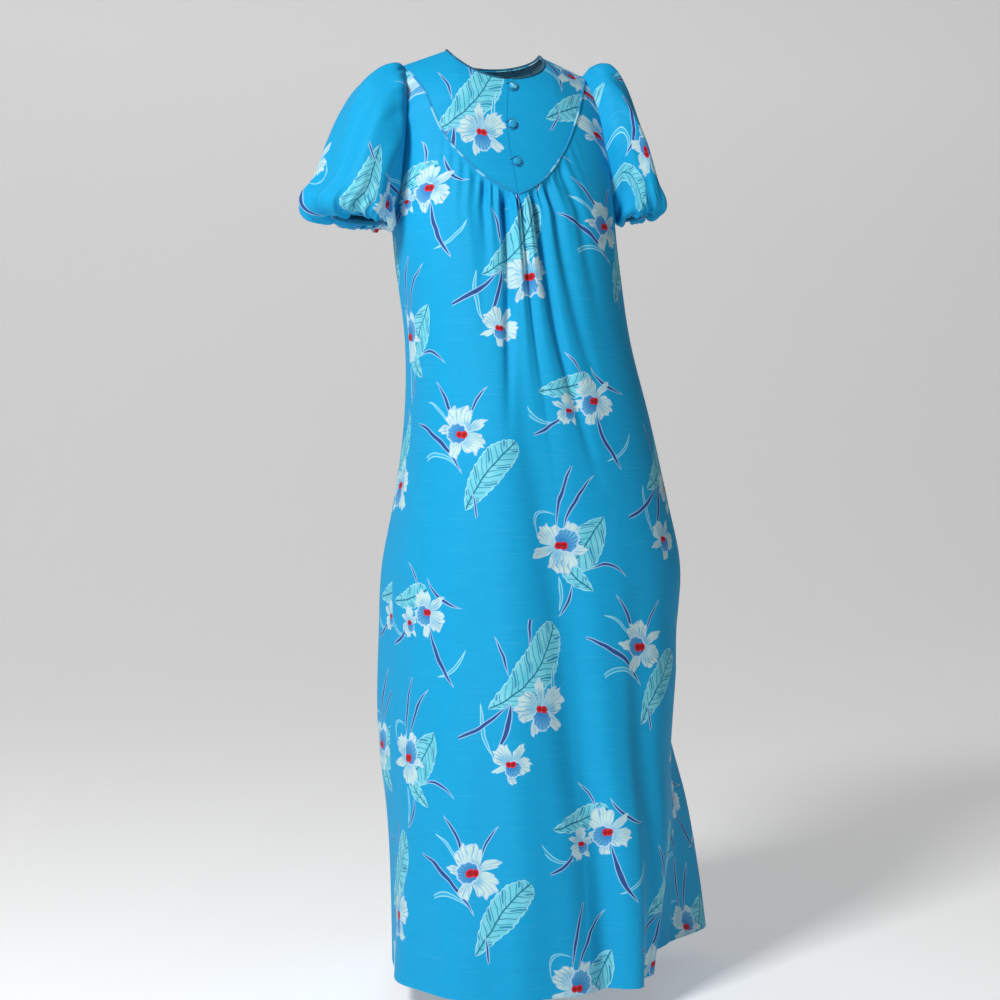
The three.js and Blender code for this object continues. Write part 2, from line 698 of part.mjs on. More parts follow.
// The dress
add('front_panel', frontPanel(), materials.cloth);
add('back_right', backHalf(-1), materials.cloth);
add('back_left', backHalf(1), materials.cloth);
add('yoke_right', yokeHalf(-1), materials.yoke);
add('yoke_left', yokeHalf(1), materials.yoke);
add('sleeve_right', sleeve(rightSleeveRings, -1), materials.cloth);
add('sleeve_left', sleeve(leftSleeveRings, 1), materials.cloth);
add('cuff_right', cuffBand(rightSleeveRings, -1), materials.binding);
add('cuff_left', cuffBand(leftSleeveRings, 1), materials.binding);
add('piping_right', sealed(yokePiping(-1)), materials.piping);
add('piping_left', sealed(yokePiping(1)), materials.piping);
add('neck_binding', sealed(neckBinding()), materials.binding);
button.levels.forEach((z, k) => {
  add(`button_${k + 1}`, buttonAt(z), materials.button);
  add(`button_loop_${k + 1}`, sealed(buttonLoop(z)), materials.piping);
});

export default dress;
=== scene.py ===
# %% [markdown]
# # A long printed dress with a yoke, made in Blender
#
# The dress is a muumuu: a loose, full-length dress of light cotton, printed with sprays of
# orchids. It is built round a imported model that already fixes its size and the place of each
# part. In this lesson every panel starts as a flat piece of cloth and is draped into place.
# All lengths in the tables are millimetres, and they become metres when points are placed.

# %% Load the fixed frame
import math

import bpy
import numpy as np
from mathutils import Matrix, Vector


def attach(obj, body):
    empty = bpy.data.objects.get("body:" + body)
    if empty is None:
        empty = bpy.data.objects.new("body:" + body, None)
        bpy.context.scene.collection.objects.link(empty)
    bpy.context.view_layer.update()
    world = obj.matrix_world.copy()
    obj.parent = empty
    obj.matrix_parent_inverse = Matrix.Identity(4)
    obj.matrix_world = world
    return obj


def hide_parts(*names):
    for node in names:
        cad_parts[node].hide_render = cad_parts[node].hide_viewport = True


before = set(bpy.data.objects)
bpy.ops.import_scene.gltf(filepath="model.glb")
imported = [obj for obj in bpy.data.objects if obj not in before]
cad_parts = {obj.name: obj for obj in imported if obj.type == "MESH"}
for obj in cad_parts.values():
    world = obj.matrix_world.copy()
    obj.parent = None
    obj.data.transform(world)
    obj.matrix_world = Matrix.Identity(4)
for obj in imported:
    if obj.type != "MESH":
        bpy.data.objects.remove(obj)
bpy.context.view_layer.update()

# %% [markdown]
# ## The camera, the light and the floor
# The dress is seen from slightly below the middle of its height and a little to the side, from
# three metres away. A long lens keeps its sides straight. The light is a studio's: a strong
# lamp high on the left, a faint and wide one on the right, and a pale floor that sweeps up
# behind, so that no horizon shows.

# %% Camera
CAMERA_DISTANCE = 3.0
CAMERA_HEIGHT = -0.642
CAMERA_BEARING = math.radians(-17)
FOCAL_LENGTH = 69.3
FRAMING = (0.006, -0.035)

bpy.ops.object.select_all(action="DESELECT")
bpy.ops.object.camera_add(
    location=(
        CAMERA_DISTANCE * math.sin(CAMERA_BEARING),
        -CAMERA_DISTANCE * math.cos(CAMERA_BEARING),
        CAMERA_HEIGHT,
    ),
    rotation=(math.pi / 2, 0, CAMERA_BEARING),
)
camera = bpy.context.object
camera.data.lens = FOCAL_LENGTH
camera.data.shift_x, camera.data.shift_y = FRAMING
bpy.context.scene.camera = camera
print("camera at", [round(v, 3) for v in camera.location])

# %% Floor that sweeps up behind
FLOOR_Z, FLOOR_SIZE, FLOOR_RISE = -1.45, 14, 8
SWEEP_RADIUS, SWEEP_STEPS = 3, 24
PAPER_GREY, PAPER_GLOW = 0.9, 0.3

bpy.ops.object.select_all(action="DESELECT")
bpy.ops.mesh.primitive_plane_add(size=FLOOR_SIZE, location=(0, 0, FLOOR_Z))
floor = bpy.context.object
floor.name = "floor"
bpy.ops.object.mode_set(mode="EDIT")
bpy.ops.mesh.select_mode(type="EDGE")
bpy.ops.mesh.select_all(action="DESELECT")
bpy.ops.object.mode_set(mode="OBJECT")
for edge in floor.data.edges:
    ends = [floor.data.vertices[i].co.y for i in edge.vertices]
    edge.select = min(ends) > FLOOR_SIZE / 2 - 1
bpy.ops.object.mode_set(mode="EDIT")
bpy.ops.mesh.extrude_region_move(TRANSFORM_OT_translate={"value": (0, 0, FLOOR_RISE)})
bpy.ops.object.mode_set(mode="OBJECT")
bpy.ops.object.modifier_add(type="BEVEL")
floor.modifiers[-1].width = SWEEP_RADIUS
floor.modifiers[-1].segments = SWEEP_STEPS
bpy.ops.object.modifier_apply(modifier=floor.modifiers[-1].name)
bpy.ops.object.shade_smooth()
bpy.ops.object.transform_apply(location=True, rotation=True, scale=True)
# The sweep glows a little, as paper does in front of studio lamps, so it renders near white.
paper = bpy.data.materials.new("paper_sweep")
paper.use_nodes = True
glow = paper.node_tree.nodes["Principled BSDF"].inputs
glow["Base Color"].default_value = (PAPER_GREY, PAPER_GREY, PAPER_GREY, 1)
glow["Roughness"].default_value = 0.95
glow["Emission Color"].default_value = (1, 1, 1, 1)
glow["Emission Strength"].default_value = PAPER_GLOW
floor.data.materials.append(paper)
print("floor faces:", len(floor.data.polygons))

# %% Studio light


def soft_light(name, place, aim, size, power):
    """A square area light that shines from a place towards an aim."""
    bpy.ops.object.light_add(type="AREA", location=place)
    light = bpy.context.object
    light.name = name
    light.data.size = size
    light.data.energy = power
    towards = Vector(aim) - Vector(place)
    light.rotation_euler = towards.to_track_quat("-Z", "Y").to_euler()


SKY_STRENGTH = 0.11
soft_light("key_light", place=(-2.5, -2.1, 1.6), aim=(0, 0, -0.3), size=0.8, power=145)
soft_light("fill_light", place=(2.4, -2.6, -0.2), aim=(0, 0, -0.4), size=2.4, power=1)
world = bpy.context.scene.world or bpy.data.worlds.new("studio")
bpy.context.scene.world = world
world.use_nodes = True
sky = world.node_tree.nodes["Background"].inputs
sky["Color"].default_value = (1, 1, 1, 1)
sky["Strength"].default_value = SKY_STRENGTH
bpy.context.scene.view_settings.view_transform = "Standard"

# %% [markdown]
# ## The form that the cloth hangs on
# A dress as it is worn has a girth at each level. The tables say, for each level, where the
# middle of the section lies, how wide half of it is, and how far it reaches to the front and
# back. A smooth curve through each column gives every level between.

# %% Girth at each level
LEVELS = np.array([
    # level, middle, centre of the front, half width, reach to the front, reach to the back
    (0, 0, 0, 176, 78, 92),
    (-30, 1.6, 1.6, 176, 82, 96),
    (-60, 3.3, -2, 176, 86, 99),
    (-110, 6, -7, 176, 91, 106),
    (-160, 8.7, -7, 176, 104, 112),
    (-210, 11.4, -4, 175.5, 122, 114),
    (-258, 14, -1, 175, 138, 113),
    (-330, 21, 4, 175, 147, 116),
    (-447, 38, 14, 175, 156, 130),
    (-571, 55, 28, 190, 168, 150),
    (-696, 64, 42, 209, 180, 168),
    (-800, 68, 54, 225, 190, 180),
    (-914, 64, 60, 219, 200, 190),
    (-1070, 62, 62, 222, 216, 200),
    (-1194, 72, 72, 227, 230, 206),
    (-1319, 73, 73, 228, 243, 210),
    (-1408, 71, 71, 226, 252, 212),
], float)
COLUMN = {"middle": 1, "centre": 2, "half": 3, "front": 4, "back": 5}
HEM_Z = -1408.0
NECK_HALF, NECK_FRONT_DROP, NECK_BACK_DROP = 76.0, 55.0, 18.0
SHOULDER_TIP = (145.0, -27.0)
SHOULDER_SEAM_Y, SHOULDER_CROWN, SHOULDER_ROLL = 5.0, 6.0, 90.0
UNDERARM = (175.0, -258.0)
YOKE_CORNER_Z = -34.0
SQUARENESS = 2.4
FRONT, BACK = -1, 1


def smooth_through(keys, values, at):
    """A smooth curve through values given at rising keys, read at any array of places."""
    keys, values, at = np.asarray(keys, float), np.asarray(values, float), np.asarray(at, float)
    last = len(keys) - 1
    before = np.clip(np.arange(last + 1) - 1, 0, last)
    after = np.clip(np.arange(last + 1) + 1, 0, last)
    slopes = (values[after] - values[before]) / (keys[after] - keys[before])
    i = np.clip(np.searchsorted(keys, at, side="right") - 1, 0, last - 1)
    span = keys[i + 1] - keys[i]
    t = np.clip((at - keys[i]) / span, 0, 1)
    t2, t3 = t * t, t * t * t
    held = (2 * t3 - 3 * t2 + 1) * values[i] + (3 * t2 - 2 * t3) * values[i + 1]
    return held + span * ((t3 - 2 * t2 + t) * slopes[i] + (t3 - t2) * slopes[i + 1])


def level(name, z):
    return smooth_through(-LEVELS[:, 0], LEVELS[:, COLUMN[name]], -np.asarray(z, float))


def mix(a, b, t):
    return a + (b - a) * t


def ease(t):
    t = np.clip(t, 0, 1)
    return t * t * (3 - 2 * t)


def bump(v):
    return np.exp(-v * v)


def reach(x, z, side):
    """How far the section's edge lies to the front or back at a place."""
    share = np.clip(np.abs(x) / level("half", z), 0, 1)
    depth = level("front" if side == FRONT else "back", z)
    return side * depth * (1 - share**SQUARENESS) ** (1 / SQUARENESS)


def sway(x, z, side):
    middle = level("middle", z)
    if side == BACK:
        return middle
    return mix(level("centre", z), middle, (x / level("half", z)) ** 2)


print("half width at the bust and hem:", level("half", -330), level("half", HEM_Z))

# %% The shoulders, and the seams above the underarm
ROLL_POWERS = (1.8, 0.85)


def shoulder_height(x):
    past = np.abs(x) - NECK_HALF
    slope = SHOULDER_TIP[1] / (SHOULDER_TIP[0] - NECK_HALF)
    return np.where(past < 0, SHOULDER_CROWN * (1 - (x / NECK_HALF) ** 2), slope * past)


def on_form(x, z, side):
    """A point of the form: the cloth leaves the shoulder seam level and turns down."""
    drop = np.clip((shoulder_height(x) - z) / SHOULDER_ROLL, 0, 1)
    turned = (1 - (1 - drop) ** ROLL_POWERS[0]) ** ROLL_POWERS[1]
    y = mix(SHOULDER_SEAM_Y, reach(x, z, side), turned)
    return np.stack(np.broadcast_arrays(x + sway(x, z, side), y, z), -1)


def outward(x, z, side):
    step = 0.5
    across = on_form(x + step, z, side) - on_form(x - step, z, side)
    down = on_form(x, z - step, side) - on_form(x, z + step, side)
    normal = np.cross(across, down) * side
    return normal / np.linalg.norm(normal, axis=-1, keepdims=True)


# The yoke seam, from the point at the middle front out to the armhole: the level, and how
# far out the right and the left half of the seam lie there.
YOKE_SEAM = np.array([
    (-238, 0, 0), (-225, 28, 26), (-208, 53, 49), (-182, 77, 72),
    (-149, 101, 94), (-112, 117, 110), (-72, 129, 124),
], float)
corner_share = (YOKE_CORNER_Z - UNDERARM[1]) / (SHOULDER_TIP[1] - UNDERARM[1])
SEAM_CORNER = (mix(UNDERARM[0], SHOULDER_TIP[0], corner_share), YOKE_CORNER_Z)


def rounded_line(points, steps=200):
    """A line that runs smoothly through the points, sampled closely."""
    ends = np.vstack([2 * points[0] - points[1], points, 2 * points[-1] - points[-2]])
    t = np.linspace(0, 1, steps, endpoint=False)[:, None]
    parts = []
    for a, b, c, d in zip(ends, ends[1:], ends[2:], ends[3:]):
        bend = (2 * a - 5 * b + 4 * c - d) * t**2 + (3 * b - a - 3 * c + d) * t**3
        parts.append(0.5 * (2 * b + (c - a) * t + bend))
    return np.vstack([*parts, points[-1:]])


def half_seam(column):
    """One half of the yoke seam: the share of its length at each sample, and the samples."""
    line = rounded_line(np.vstack([YOKE_SEAM[:, [column, 0]], SEAM_CORNER]))
    steps = np.linalg.norm(np.diff(line, axis=0), axis=1)
    print("half yoke seam:", round(steps.sum(), 1), "mm")
    return np.concatenate([[0], np.cumsum(steps)]) / steps.sum(), line


right_half, left_half = half_seam(1), half_seam(2)


def yoke_seam(along):
    """A point of the yoke seam: -1 is the right armhole, 0 the point, 1 the left armhole."""
    share = np.clip(np.abs(along), 0, 1)
    (right_x, right_z), (left_x, left_z) = (
        [np.interp(share, shares, line[:, k]) for k in (0, 1)]
        for shares, line in (right_half, left_half)
    )
    is_right = np.asarray(along) < 0
    return np.where(is_right, -right_x, left_x), np.where(is_right, right_z, left_z)


NECK_SHARE = 0.55


def top_edge(share, drop):
    """Neckline and shoulder seam, from the middle (0) to the tip of the shoulder (1)."""
    turn = np.clip(share / NECK_SHARE, 0, 1) * math.pi / 2
    out = np.clip((share - NECK_SHARE) / (1 - NECK_SHARE), 0, 1)
    on_neck = share < NECK_SHARE
    x = np.where(on_neck, NECK_HALF * np.sin(turn), mix(NECK_HALF, SHOULDER_TIP[0], out))
    return x, np.where(on_neck, -drop * np.cos(turn), SHOULDER_TIP[1] * out)


# %% [markdown]
# ## Folds of the hanging skirt
# Below the bust the cloth falls free. Its long folds start at different levels and grow
# towards the hem. Each is a row of a table: the bearing of its line in degrees, how far the
# line drifts, where it starts, how far it stands out at the hem, and how wide it is. A swell
# has a bearing, a middle height, how tall it is, how far it stands out, and how wide it is.

# %% Long folds and broad swells
SKIRT_FOLDS = [
    (-72, 0, -1040, 32, 14), (-45, 4, -880, 38, 17), (-22, 4, -400, 14, 9),
    (6, -15, -340, -28, 6), (19, 0, -700, 5, 4), (29, -4, -740, -26, 9), (58, 2, -960, -64, 24),
    (81, 0, -900, -24, 9), (107, -2, -820, 114, 12), (127, 0, -620, -24, 9),
    (144, 2, -520, 34, 10), (163, 0, -560, -24, 8), (181, -2, -480, 30, 10),
    (200, 0, -560, -26, 8), (218, -3, -520, 26, 10), (244, 0, -900, -16, 12),
]
SWELLS = [(-116, -960, 270, 24, 24), (112, -760, 200, 8, 22)]


def degrees_apart(a, b):
    return a - b - 360 * np.round((a - b) / 360)


def folds(bearing, z):
    out = np.zeros(np.broadcast(bearing, z).shape)
    for line, drift, top, depth, spread in SKIRT_FOLDS:
        grown = np.clip((top - z) / (top - HEM_Z), 0, 1)
        away = degrees_apart(bearing, line + drift * (1 - grown))
        out = out + depth * grown**1.2 * bump(away / spread)
    for line, height, tall, depth, spread in SWELLS:
        out = out + depth * bump(degrees_apart(bearing, line) / spread) * bump((z - height) / tall)
    return out


def signed_power(v, power):
    return np.sign(v) * np.abs(v) ** power


def on_girth(across, z, side):
    """A place on the skirt: across is -1 to 1, from the right side seam to the left one."""
    half = level("half", z)
    share = np.sin(across * math.pi / 2)
    x = half * share
    y = reach(x, z, side)
    depth = level("front" if side == FRONT else "back", z)
    nx = signed_power(share, SQUARENESS - 1) / half
    ny = signed_power(y / depth, SQUARENESS - 1) / depth
    length = np.hypot(nx, ny)
    turn = np.degrees(np.arcsin(np.clip(np.abs(share), 0, 1) ** (SQUARENESS / 2)))
    bearing = np.where(across < 0, -1, 1) * (turn if side == FRONT else 180 - turn)
    out = folds(bearing, z)
    x_out = sway(x, z, side) + x + nx / length * out
    return np.stack(np.broadcast_arrays(x_out, y + ny / length * out, z), -1)


print("skirt folds:", len(SKIRT_FOLDS), "swells:", len(SWELLS))

# %% [markdown]
# ## Laying out a cut panel
# Every panel of a dress is a flat piece of woven cloth first. A grid primitive is that piece:
# its columns are the threads that run down the cloth and its rows the threads across. The
# panel is then draped by moving its points, which is what hands, pins and gravity do to real
# cloth, so no face is added or lost. Its UV map keeps the place of each point on the flat
# cloth in metres, and the printed pattern is drawn there. Where gathers squeeze the cloth, the
# print is squeezed with it, as on the real dress.

# %% Helpers that lay out, drape and thicken cloth
MM = 0.001
CLOTH = 0.8 * MM
SEAM_TUCK = 2.5
SMOOTH_ANGLE = math.radians(50)
SLEEVE_WELD, CORD_WELD = 0.00002, 0.00001
pieces = {}
grids = {}


def only(piece):
    """Selects one object alone and makes it the active one."""
    bpy.ops.object.select_all(action="DESELECT")
    piece.select_set(True)
    bpy.context.view_layer.objects.active = piece


def apply_modifier(piece, kind, **settings):
    only(piece)
    bpy.ops.object.modifier_add(type=kind)
    modifier = piece.modifiers[-1]
    for name, value in settings.items():
        setattr(modifier, name, value)
    bpy.ops.object.modifier_apply(modifier=modifier.name)


def lay_out(name, rows, columns):
    """A flat grid with so many rows and columns of points."""
    bpy.ops.object.select_all(action="DESELECT")
    bpy.ops.mesh.primitive_grid_add(x_subdivisions=columns - 1, y_subdivisions=rows - 1, size=1)
    panel = bpy.context.object
    panel.name = name
    for _ in ("right side", "wrong side"):
        panel.data.materials.append(None)
    return panel


def drape(panel, points, cut):
    """Moves a grid's points to their places, and writes the flat cut to its UV map."""
    grids[panel.name] = points
    rows, columns = points.shape[:2]
    flat = np.empty(len(panel.data.vertices) * 3)
    panel.data.vertices.foreach_get("co", flat)
    flat = flat.reshape(-1, 3)
    column = np.rint((flat[:, 0] + 0.5) * (columns - 1)).astype(int)
    row = np.rint((0.5 - flat[:, 1]) * (rows - 1)).astype(int)
    panel.data.vertices.foreach_set("co", (points[row, column] * MM).ravel())
    corner = np.empty(len(panel.data.loops), int)
    panel.data.loops.foreach_get("vertex_index", corner)
    panel.data.uv_layers[0].data.foreach_set("uv", (cut[row, column] * MM)[corner].ravel())
    panel.data.update()


def thicken(panel):
    """Gives the cloth its thickness, inwards, with the wrong side in the second finish."""
    apply_modifier(
        panel, "SOLIDIFY", thickness=CLOTH, offset=-1, material_offset=1, use_rim=True,
        use_quality_normals=True,
    )
    only(panel)
    bpy.ops.object.shade_smooth_by_angle(angle=SMOOTH_ANGLE)
    pieces[panel.name] = panel


def normals_of(points):
    """The outward direction at each point of a grid whose rows run down and columns right."""
    down = np.gradient(points, axis=0)
    right = np.gradient(points, axis=1)
    normal = np.cross(down, right)
    return normal / np.maximum(np.linalg.norm(normal, axis=-1, keepdims=True), 1e-9)


def lengths_along(points, axis):
    """How far each point is along its row or column, from the first one."""
    steps = np.linalg.norm(np.diff(points, axis=axis), axis=-1)
    total = np.cumsum(steps, axis=axis)
    pad = [(0, 0), (0, 0)]
    pad[axis] = (1, 0)
    return np.pad(total, pad)


def tucked_under(base, out=0.0):
    """A panel's points pushed out along their normals, with its four edges tucked under."""
    normals = np.pad(normals_of(base[1:-1, 1:-1]), [(1, 1), (1, 1), (0, 0)], mode="edge")
    tuck = np.ones(base.shape[:2])
    tuck[1:-1, 1:-1] = 0
    return base + normals * (out - SEAM_TUCK * tuck)[..., None]


def weld(piece, distance, turn_out=False):
    """Joins points closer than a distance in metres, and turns the faces outwards if asked."""
    only(piece)
    bpy.ops.object.mode_set(mode="EDIT")
    bpy.ops.mesh.select_all(action="SELECT")
    bpy.ops.mesh.remove_doubles(threshold=distance)
    if turn_out:
        bpy.ops.mesh.normals_make_consistent(inside=False)
    bpy.ops.object.mode_set(mode="OBJECT")


print("cloth thickness:", CLOTH)

# %% [markdown]
# ## The front panel
# The front is one wide piece from side seam to side seam. Its top edge is wider than the yoke
# that it is sewn to, so it is drawn up in small gathers, and soft folds fall from them over the
# bust. The columns of the grid stand close together there, because each gather is only a
# centimetre wide. A gather is modelled as a ripple of the cloth that dies away below the seam.

# %% Places on the front
CROWDING, CROWD_SLOPE, CROWD_FROM, CROWD_TO = 0.2, 4, -260, -800
MIDDLE_SHARE = 0.52
# Soft folds below the yoke seam: place, drift, how far out, half width and length.
GATHER_FOLDS = [
    (-0.165, -0.08, -22, 0.032, 400), (-0.31, -0.08, -7, 0.036, 280),
    (-0.075, -0.01, 8, 0.055, 460), (0.012, 0.0, -5, 0.022, 420), (0.09, 0.02, 8, 0.05, 460),
    (0.18, 0.06, -22, 0.032, 480), (0.31, 0.08, -10, 0.034, 420), (0.44, 0.07, -6, 0.034, 300),
]
GATHER_WAVES, GATHER_DEPTH, GATHER_REACH, GATHER_RISE, GATHER_FADE = 14, 3.4, 0.52, 12, 60
FRONT_COLUMNS, FRONT_UPPER_ROWS, FRONT_LOWER_ROWS = 301, 48, 106
UPPER_CROWDING, LOWER_CROWDING = 1.3, 1.08


def crowd(at, hold):
    return (1 + hold) * at - hold * np.tanh(CROWD_SLOPE * at) / math.tanh(CROWD_SLOPE)


def front_across(at, z):
    held = 1 - ease((z - CROWD_FROM) / (CROWD_TO - CROWD_FROM))
    return crowd(at, CROWDING * held)


def front_upper(at, up):
    """The front above the underarm: up is 0 there and 1 at the yoke seam."""
    bottom_x = UNDERARM[0] * np.sin(front_across(at, UNDERARM[1]) * math.pi / 2)
    top_x, top_z = yoke_seam(crowd(at, CROWDING))
    rise = (YOKE_CORNER_Z - UNDERARM[1]) / (SHOULDER_TIP[1] - UNDERARM[1])
    corner = math.acos(1 - 2 * rise)
    share = (1 - np.cos(corner * up)) / (1 - math.cos(corner))
    return on_form(mix(bottom_x, top_x, share), mix(UNDERARM[1], top_z, share), FRONT)


def gathers(at, below):
    """How far the gathers push the cloth out, at a place and a distance below the seam."""
    rise = 1 - np.exp(-((below / GATHER_RISE) ** 2))
    out = np.zeros(np.broadcast(at, below).shape)
    for line, drift, depth, spread, length in GATHER_FOLDS:
        share = np.clip(below / length, 0, 1)
        away = at - line - drift * share
        out = out + depth * rise * (1 - share) ** 1.2 * bump(away / spread)
    held = bump((np.abs(at) / GATHER_REACH) ** 2)
    ripple = np.cos(2 * math.pi * GATHER_WAVES * at + 0.5 * np.sin(5.3 * at + 1.1))
    return out + GATHER_DEPTH * held * rise * np.exp(-below / GATHER_FADE) * ripple


def front_place(u):
    """Where a column lies across the front: closer together in the middle."""
    return MIDDLE_SHARE * u + (1 - MIDDLE_SHARE) * u * np.abs(u) ** 1.2


# Extra small pleats between the gathers: place, depth, half width and length.
PLEATS = [
    (-0.372, 2.6, 0.007, 45), (-0.318, 3.0, 0.008, 60), (-0.262, 3.6, 0.008, 80),
    (-0.205, 3.0, 0.007, 60), (-0.125, 3.4, 0.008, 90), (-0.055, 3.8, 0.009, 120),
    (0.008, 4.4, 0.008, 130), (0.066, 4.2, 0.009, 140), (0.124, 3.6, 0.008, 120),
    (0.236, 3.0, 0.007, 80), (0.302, 3.8, 0.009, 100), (0.356, 3.2, 0.008, 90),
    (0.418, 2.6, 0.008, 60),
]


def pleats(at, below):
    rise = 1 - np.exp(-((below / 6) ** 2))
    out = np.zeros(np.broadcast(at, below).shape)
    for line, depth, half, length in PLEATS:
        opened = half * (1 + 2.4 * below / length)
        out = out - depth * rise * np.exp(-below / length) * bump((at - line) / opened)
    return out


# %% Drape the front
places = front_place(np.linspace(-1, 1, FRONT_COLUMNS))
places = np.concatenate([[-1], places, [1]])[None, :]
ups = np.concatenate([[1], 1 - np.linspace(0, 1, FRONT_UPPER_ROWS) ** UPPER_CROWDING])[:, None]
levels_down = np.linspace(0, 1, FRONT_LOWER_ROWS + 1)[1:, None] ** LOWER_CROWDING
levels_down = np.concatenate([mix(UNDERARM[1], HEM_Z, levels_down), [[HEM_Z]]])
front_base = np.concatenate([
    front_upper(places, ups), on_girth(front_across(places, levels_down), levels_down, FRONT)
])
below_seam = np.linalg.norm(front_base - front_base[:1], axis=-1)
front_out = gathers(places, below_seam) + pleats(places, below_seam)
front_points = tucked_under(front_base, front_out)

# The cut: rows run along the threads across the cloth, and the gathers take up more of it.
FULLNESS, FULLNESS_FADE = 0.42, 150.0
steps = np.linalg.norm(np.diff(front_base, axis=1), axis=-1)
mid_places = (places[:, 1:] + places[:, :-1]) / 2
mid_below = (below_seam[:, 1:] + below_seam[:, :-1]) / 2
held = bump((np.abs(mid_places) / GATHER_REACH) ** 2)
steps = steps * (1 + FULLNESS * np.exp(-mid_below / FULLNESS_FADE) * held)
front_u = np.pad(np.cumsum(steps, axis=1), [(0, 0), (1, 0)])
middle = slice(places.size // 2, places.size // 2 + 1)
front_u = front_u - front_u[:, middle] + level("centre", front_base[:, middle, 2])
underarm_row = len(ups) - 1
down = lengths_along(front_base, 0)
front_v = down - down[underarm_row]
front_v[underarm_row:] = front_v[underarm_row:, middle]
front_cut = np.stack([front_u, -front_v], -1)

front = lay_out("front_cloth", *front_points.shape[:2])
drape(front, front_points, front_cut)
print("front points:", len(front.data.vertices))

# %% [markdown]
# ## The back
# The back is plain: two panels with a seam down the middle, from the neck and shoulder seams
# to the hem. Its upper edge follows the back of the neck and the shoulders, and below the
# underarm it hangs in the same girth as the front, so the side seams meet.

# %% Drape the back
BACK_COLUMNS, BACK_UPPER_ROWS, BACK_LOWER_ROWS = 111, 34, 86


def back_upper(across, up):
    top_x, top_z = top_edge(np.abs(across), NECK_BACK_DROP)
    share = (1 - np.cos(math.pi * up)) / 2
    bottom_x = UNDERARM[0] * np.sin(across * math.pi / 2)
    x = mix(bottom_x, np.sign(across) * top_x, share)
    return on_form(x, mix(UNDERARM[1], top_z, share), BACK)


def back_panel(name, hand):
    """Half of the back: hand is -1 for the wearer's right and 1 for the left."""
    across = np.linspace(0, hand, BACK_COLUMNS)
    across = np.concatenate([[0], across, [hand]])[None, :]
    if hand > 0:
        across = across[:, ::-1]
    ups = np.concatenate([[1], np.linspace(1, 0, BACK_UPPER_ROWS)])[:, None]
    lower = np.linspace(UNDERARM[1], HEM_Z, BACK_LOWER_ROWS + 1)[1:, None]
    lower = np.concatenate([lower, [[HEM_Z]]])
    base = np.concatenate([back_upper(across, ups), on_girth(across, lower, BACK)])
    u, v = lengths_along(base, 1), lengths_along(base, 0)
    if hand > 0:
        u = u - u[:, -1:]
    middle = -1 if hand > 0 else 0
    underarm_row = len(ups) - 1
    v = v - v[underarm_row]
    v[underarm_row:] = v[underarm_row:, middle][:, None]
    cut = np.stack([BACK_PRINT_SHIFT + u, -v], -1)
    panel = lay_out(name, *base.shape[:2])
    drape(panel, tucked_under(base), cut)
    return panel


BACK_PRINT_SHIFT = 1140.0
back_right = back_panel("back_right_cloth", -1)
back_left = back_panel("back_left_cloth", 1)

# %% [markdown]
# ## The yoke
# The yoke is a shield of smooth cloth, lined so that it keeps its shape. It is made in two
# halves that meet at the slit in the middle of the front, where the buttons are. Each half
# runs from the neckline and the shoulder seam down to the pointed seam.

# %% Drape the two halves of the yoke
YOKE_ROWS, YOKE_COLUMNS, YOKE_RISE = 60, 90, 1.6
SLIT_HALF = 0.35
# The yoke is unrolled across at one level, and down along one line beside the middle.
UNROLL_LEVEL, UNROLL_LINE = -150.0, 60.0
WIDTHS, HEIGHTS = np.linspace(0, 176, 353), np.linspace(20, -260, 281)


def run_along(line):
    """How far each point of a line is from its start, along the line."""
    steps = np.linalg.norm(np.diff(line, axis=0), axis=-1)
    return np.concatenate([[0], np.cumsum(steps)])


def turned_print(across, up, degrees, place):
    """Where a panel lies on the printed cloth that it is cut from, at a turn and a place."""
    c, s = math.cos(math.radians(degrees)), math.sin(math.radians(degrees))
    return np.stack([place[0] + across * c - up * s, place[1] + across * s + up * c], -1)


def yoke_half(name, hand):
    u = np.concatenate([[0], np.linspace(0, 1, YOKE_COLUMNS), [1]])
    shares = crowd(front_place(u), CROWDING)[None, :]
    if hand < 0:
        shares = shares[:, ::-1]
    ups = np.concatenate([[1], np.linspace(1, 0, YOKE_ROWS), [0]])[:, None]
    seam_x, seam_z = yoke_seam(hand * np.maximum(shares, 1e-9))
    top_x, top_z = top_edge(shares, NECK_FRONT_DROP)
    rise = 1 - (1 - ups) ** YOKE_RISE
    x = np.maximum(mix(np.abs(seam_x), top_x, rise), SLIT_HALF)
    z = mix(seam_z, top_z, rise)
    base = on_form(hand * x, z, FRONT)
    flat_x = hand * np.interp(x, WIDTHS, run_along(on_form(WIDTHS, UNROLL_LEVEL, FRONT)))
    flat_z = -np.interp(-z, -HEIGHTS, run_along(on_form(UNROLL_LINE, HEIGHTS, FRONT)))
    panel = lay_out(name, *base.shape[:2])
    drape(panel, tucked_under(base), turned_print(flat_x, flat_z, *YOKE_PRINT[hand]))
    return panel


# How each half is turned on the printed cloth, in degrees, and where it lies on it.
YOKE_PRINT = {-1: (0.0, (50.6, -540.9)), 1: (37.0, (-256.5, -352.0))}
yoke_right = yoke_half("yoke_right_cloth", -1)
yoke_left = yoke_half("yoke_left_cloth", 1)

# %% [markdown]
# ## The sleeves
# A puff sleeve is cut wider than the armhole and longer than the arm needs. It is gathered at
# the cap and again into a narrow cuff, and the cloth between blouses out and hangs over it.
# The sleeve is a ring of cloth at every place along it, so it is laid out flat, rolled round
# the arm, and sewn to itself under the arm.

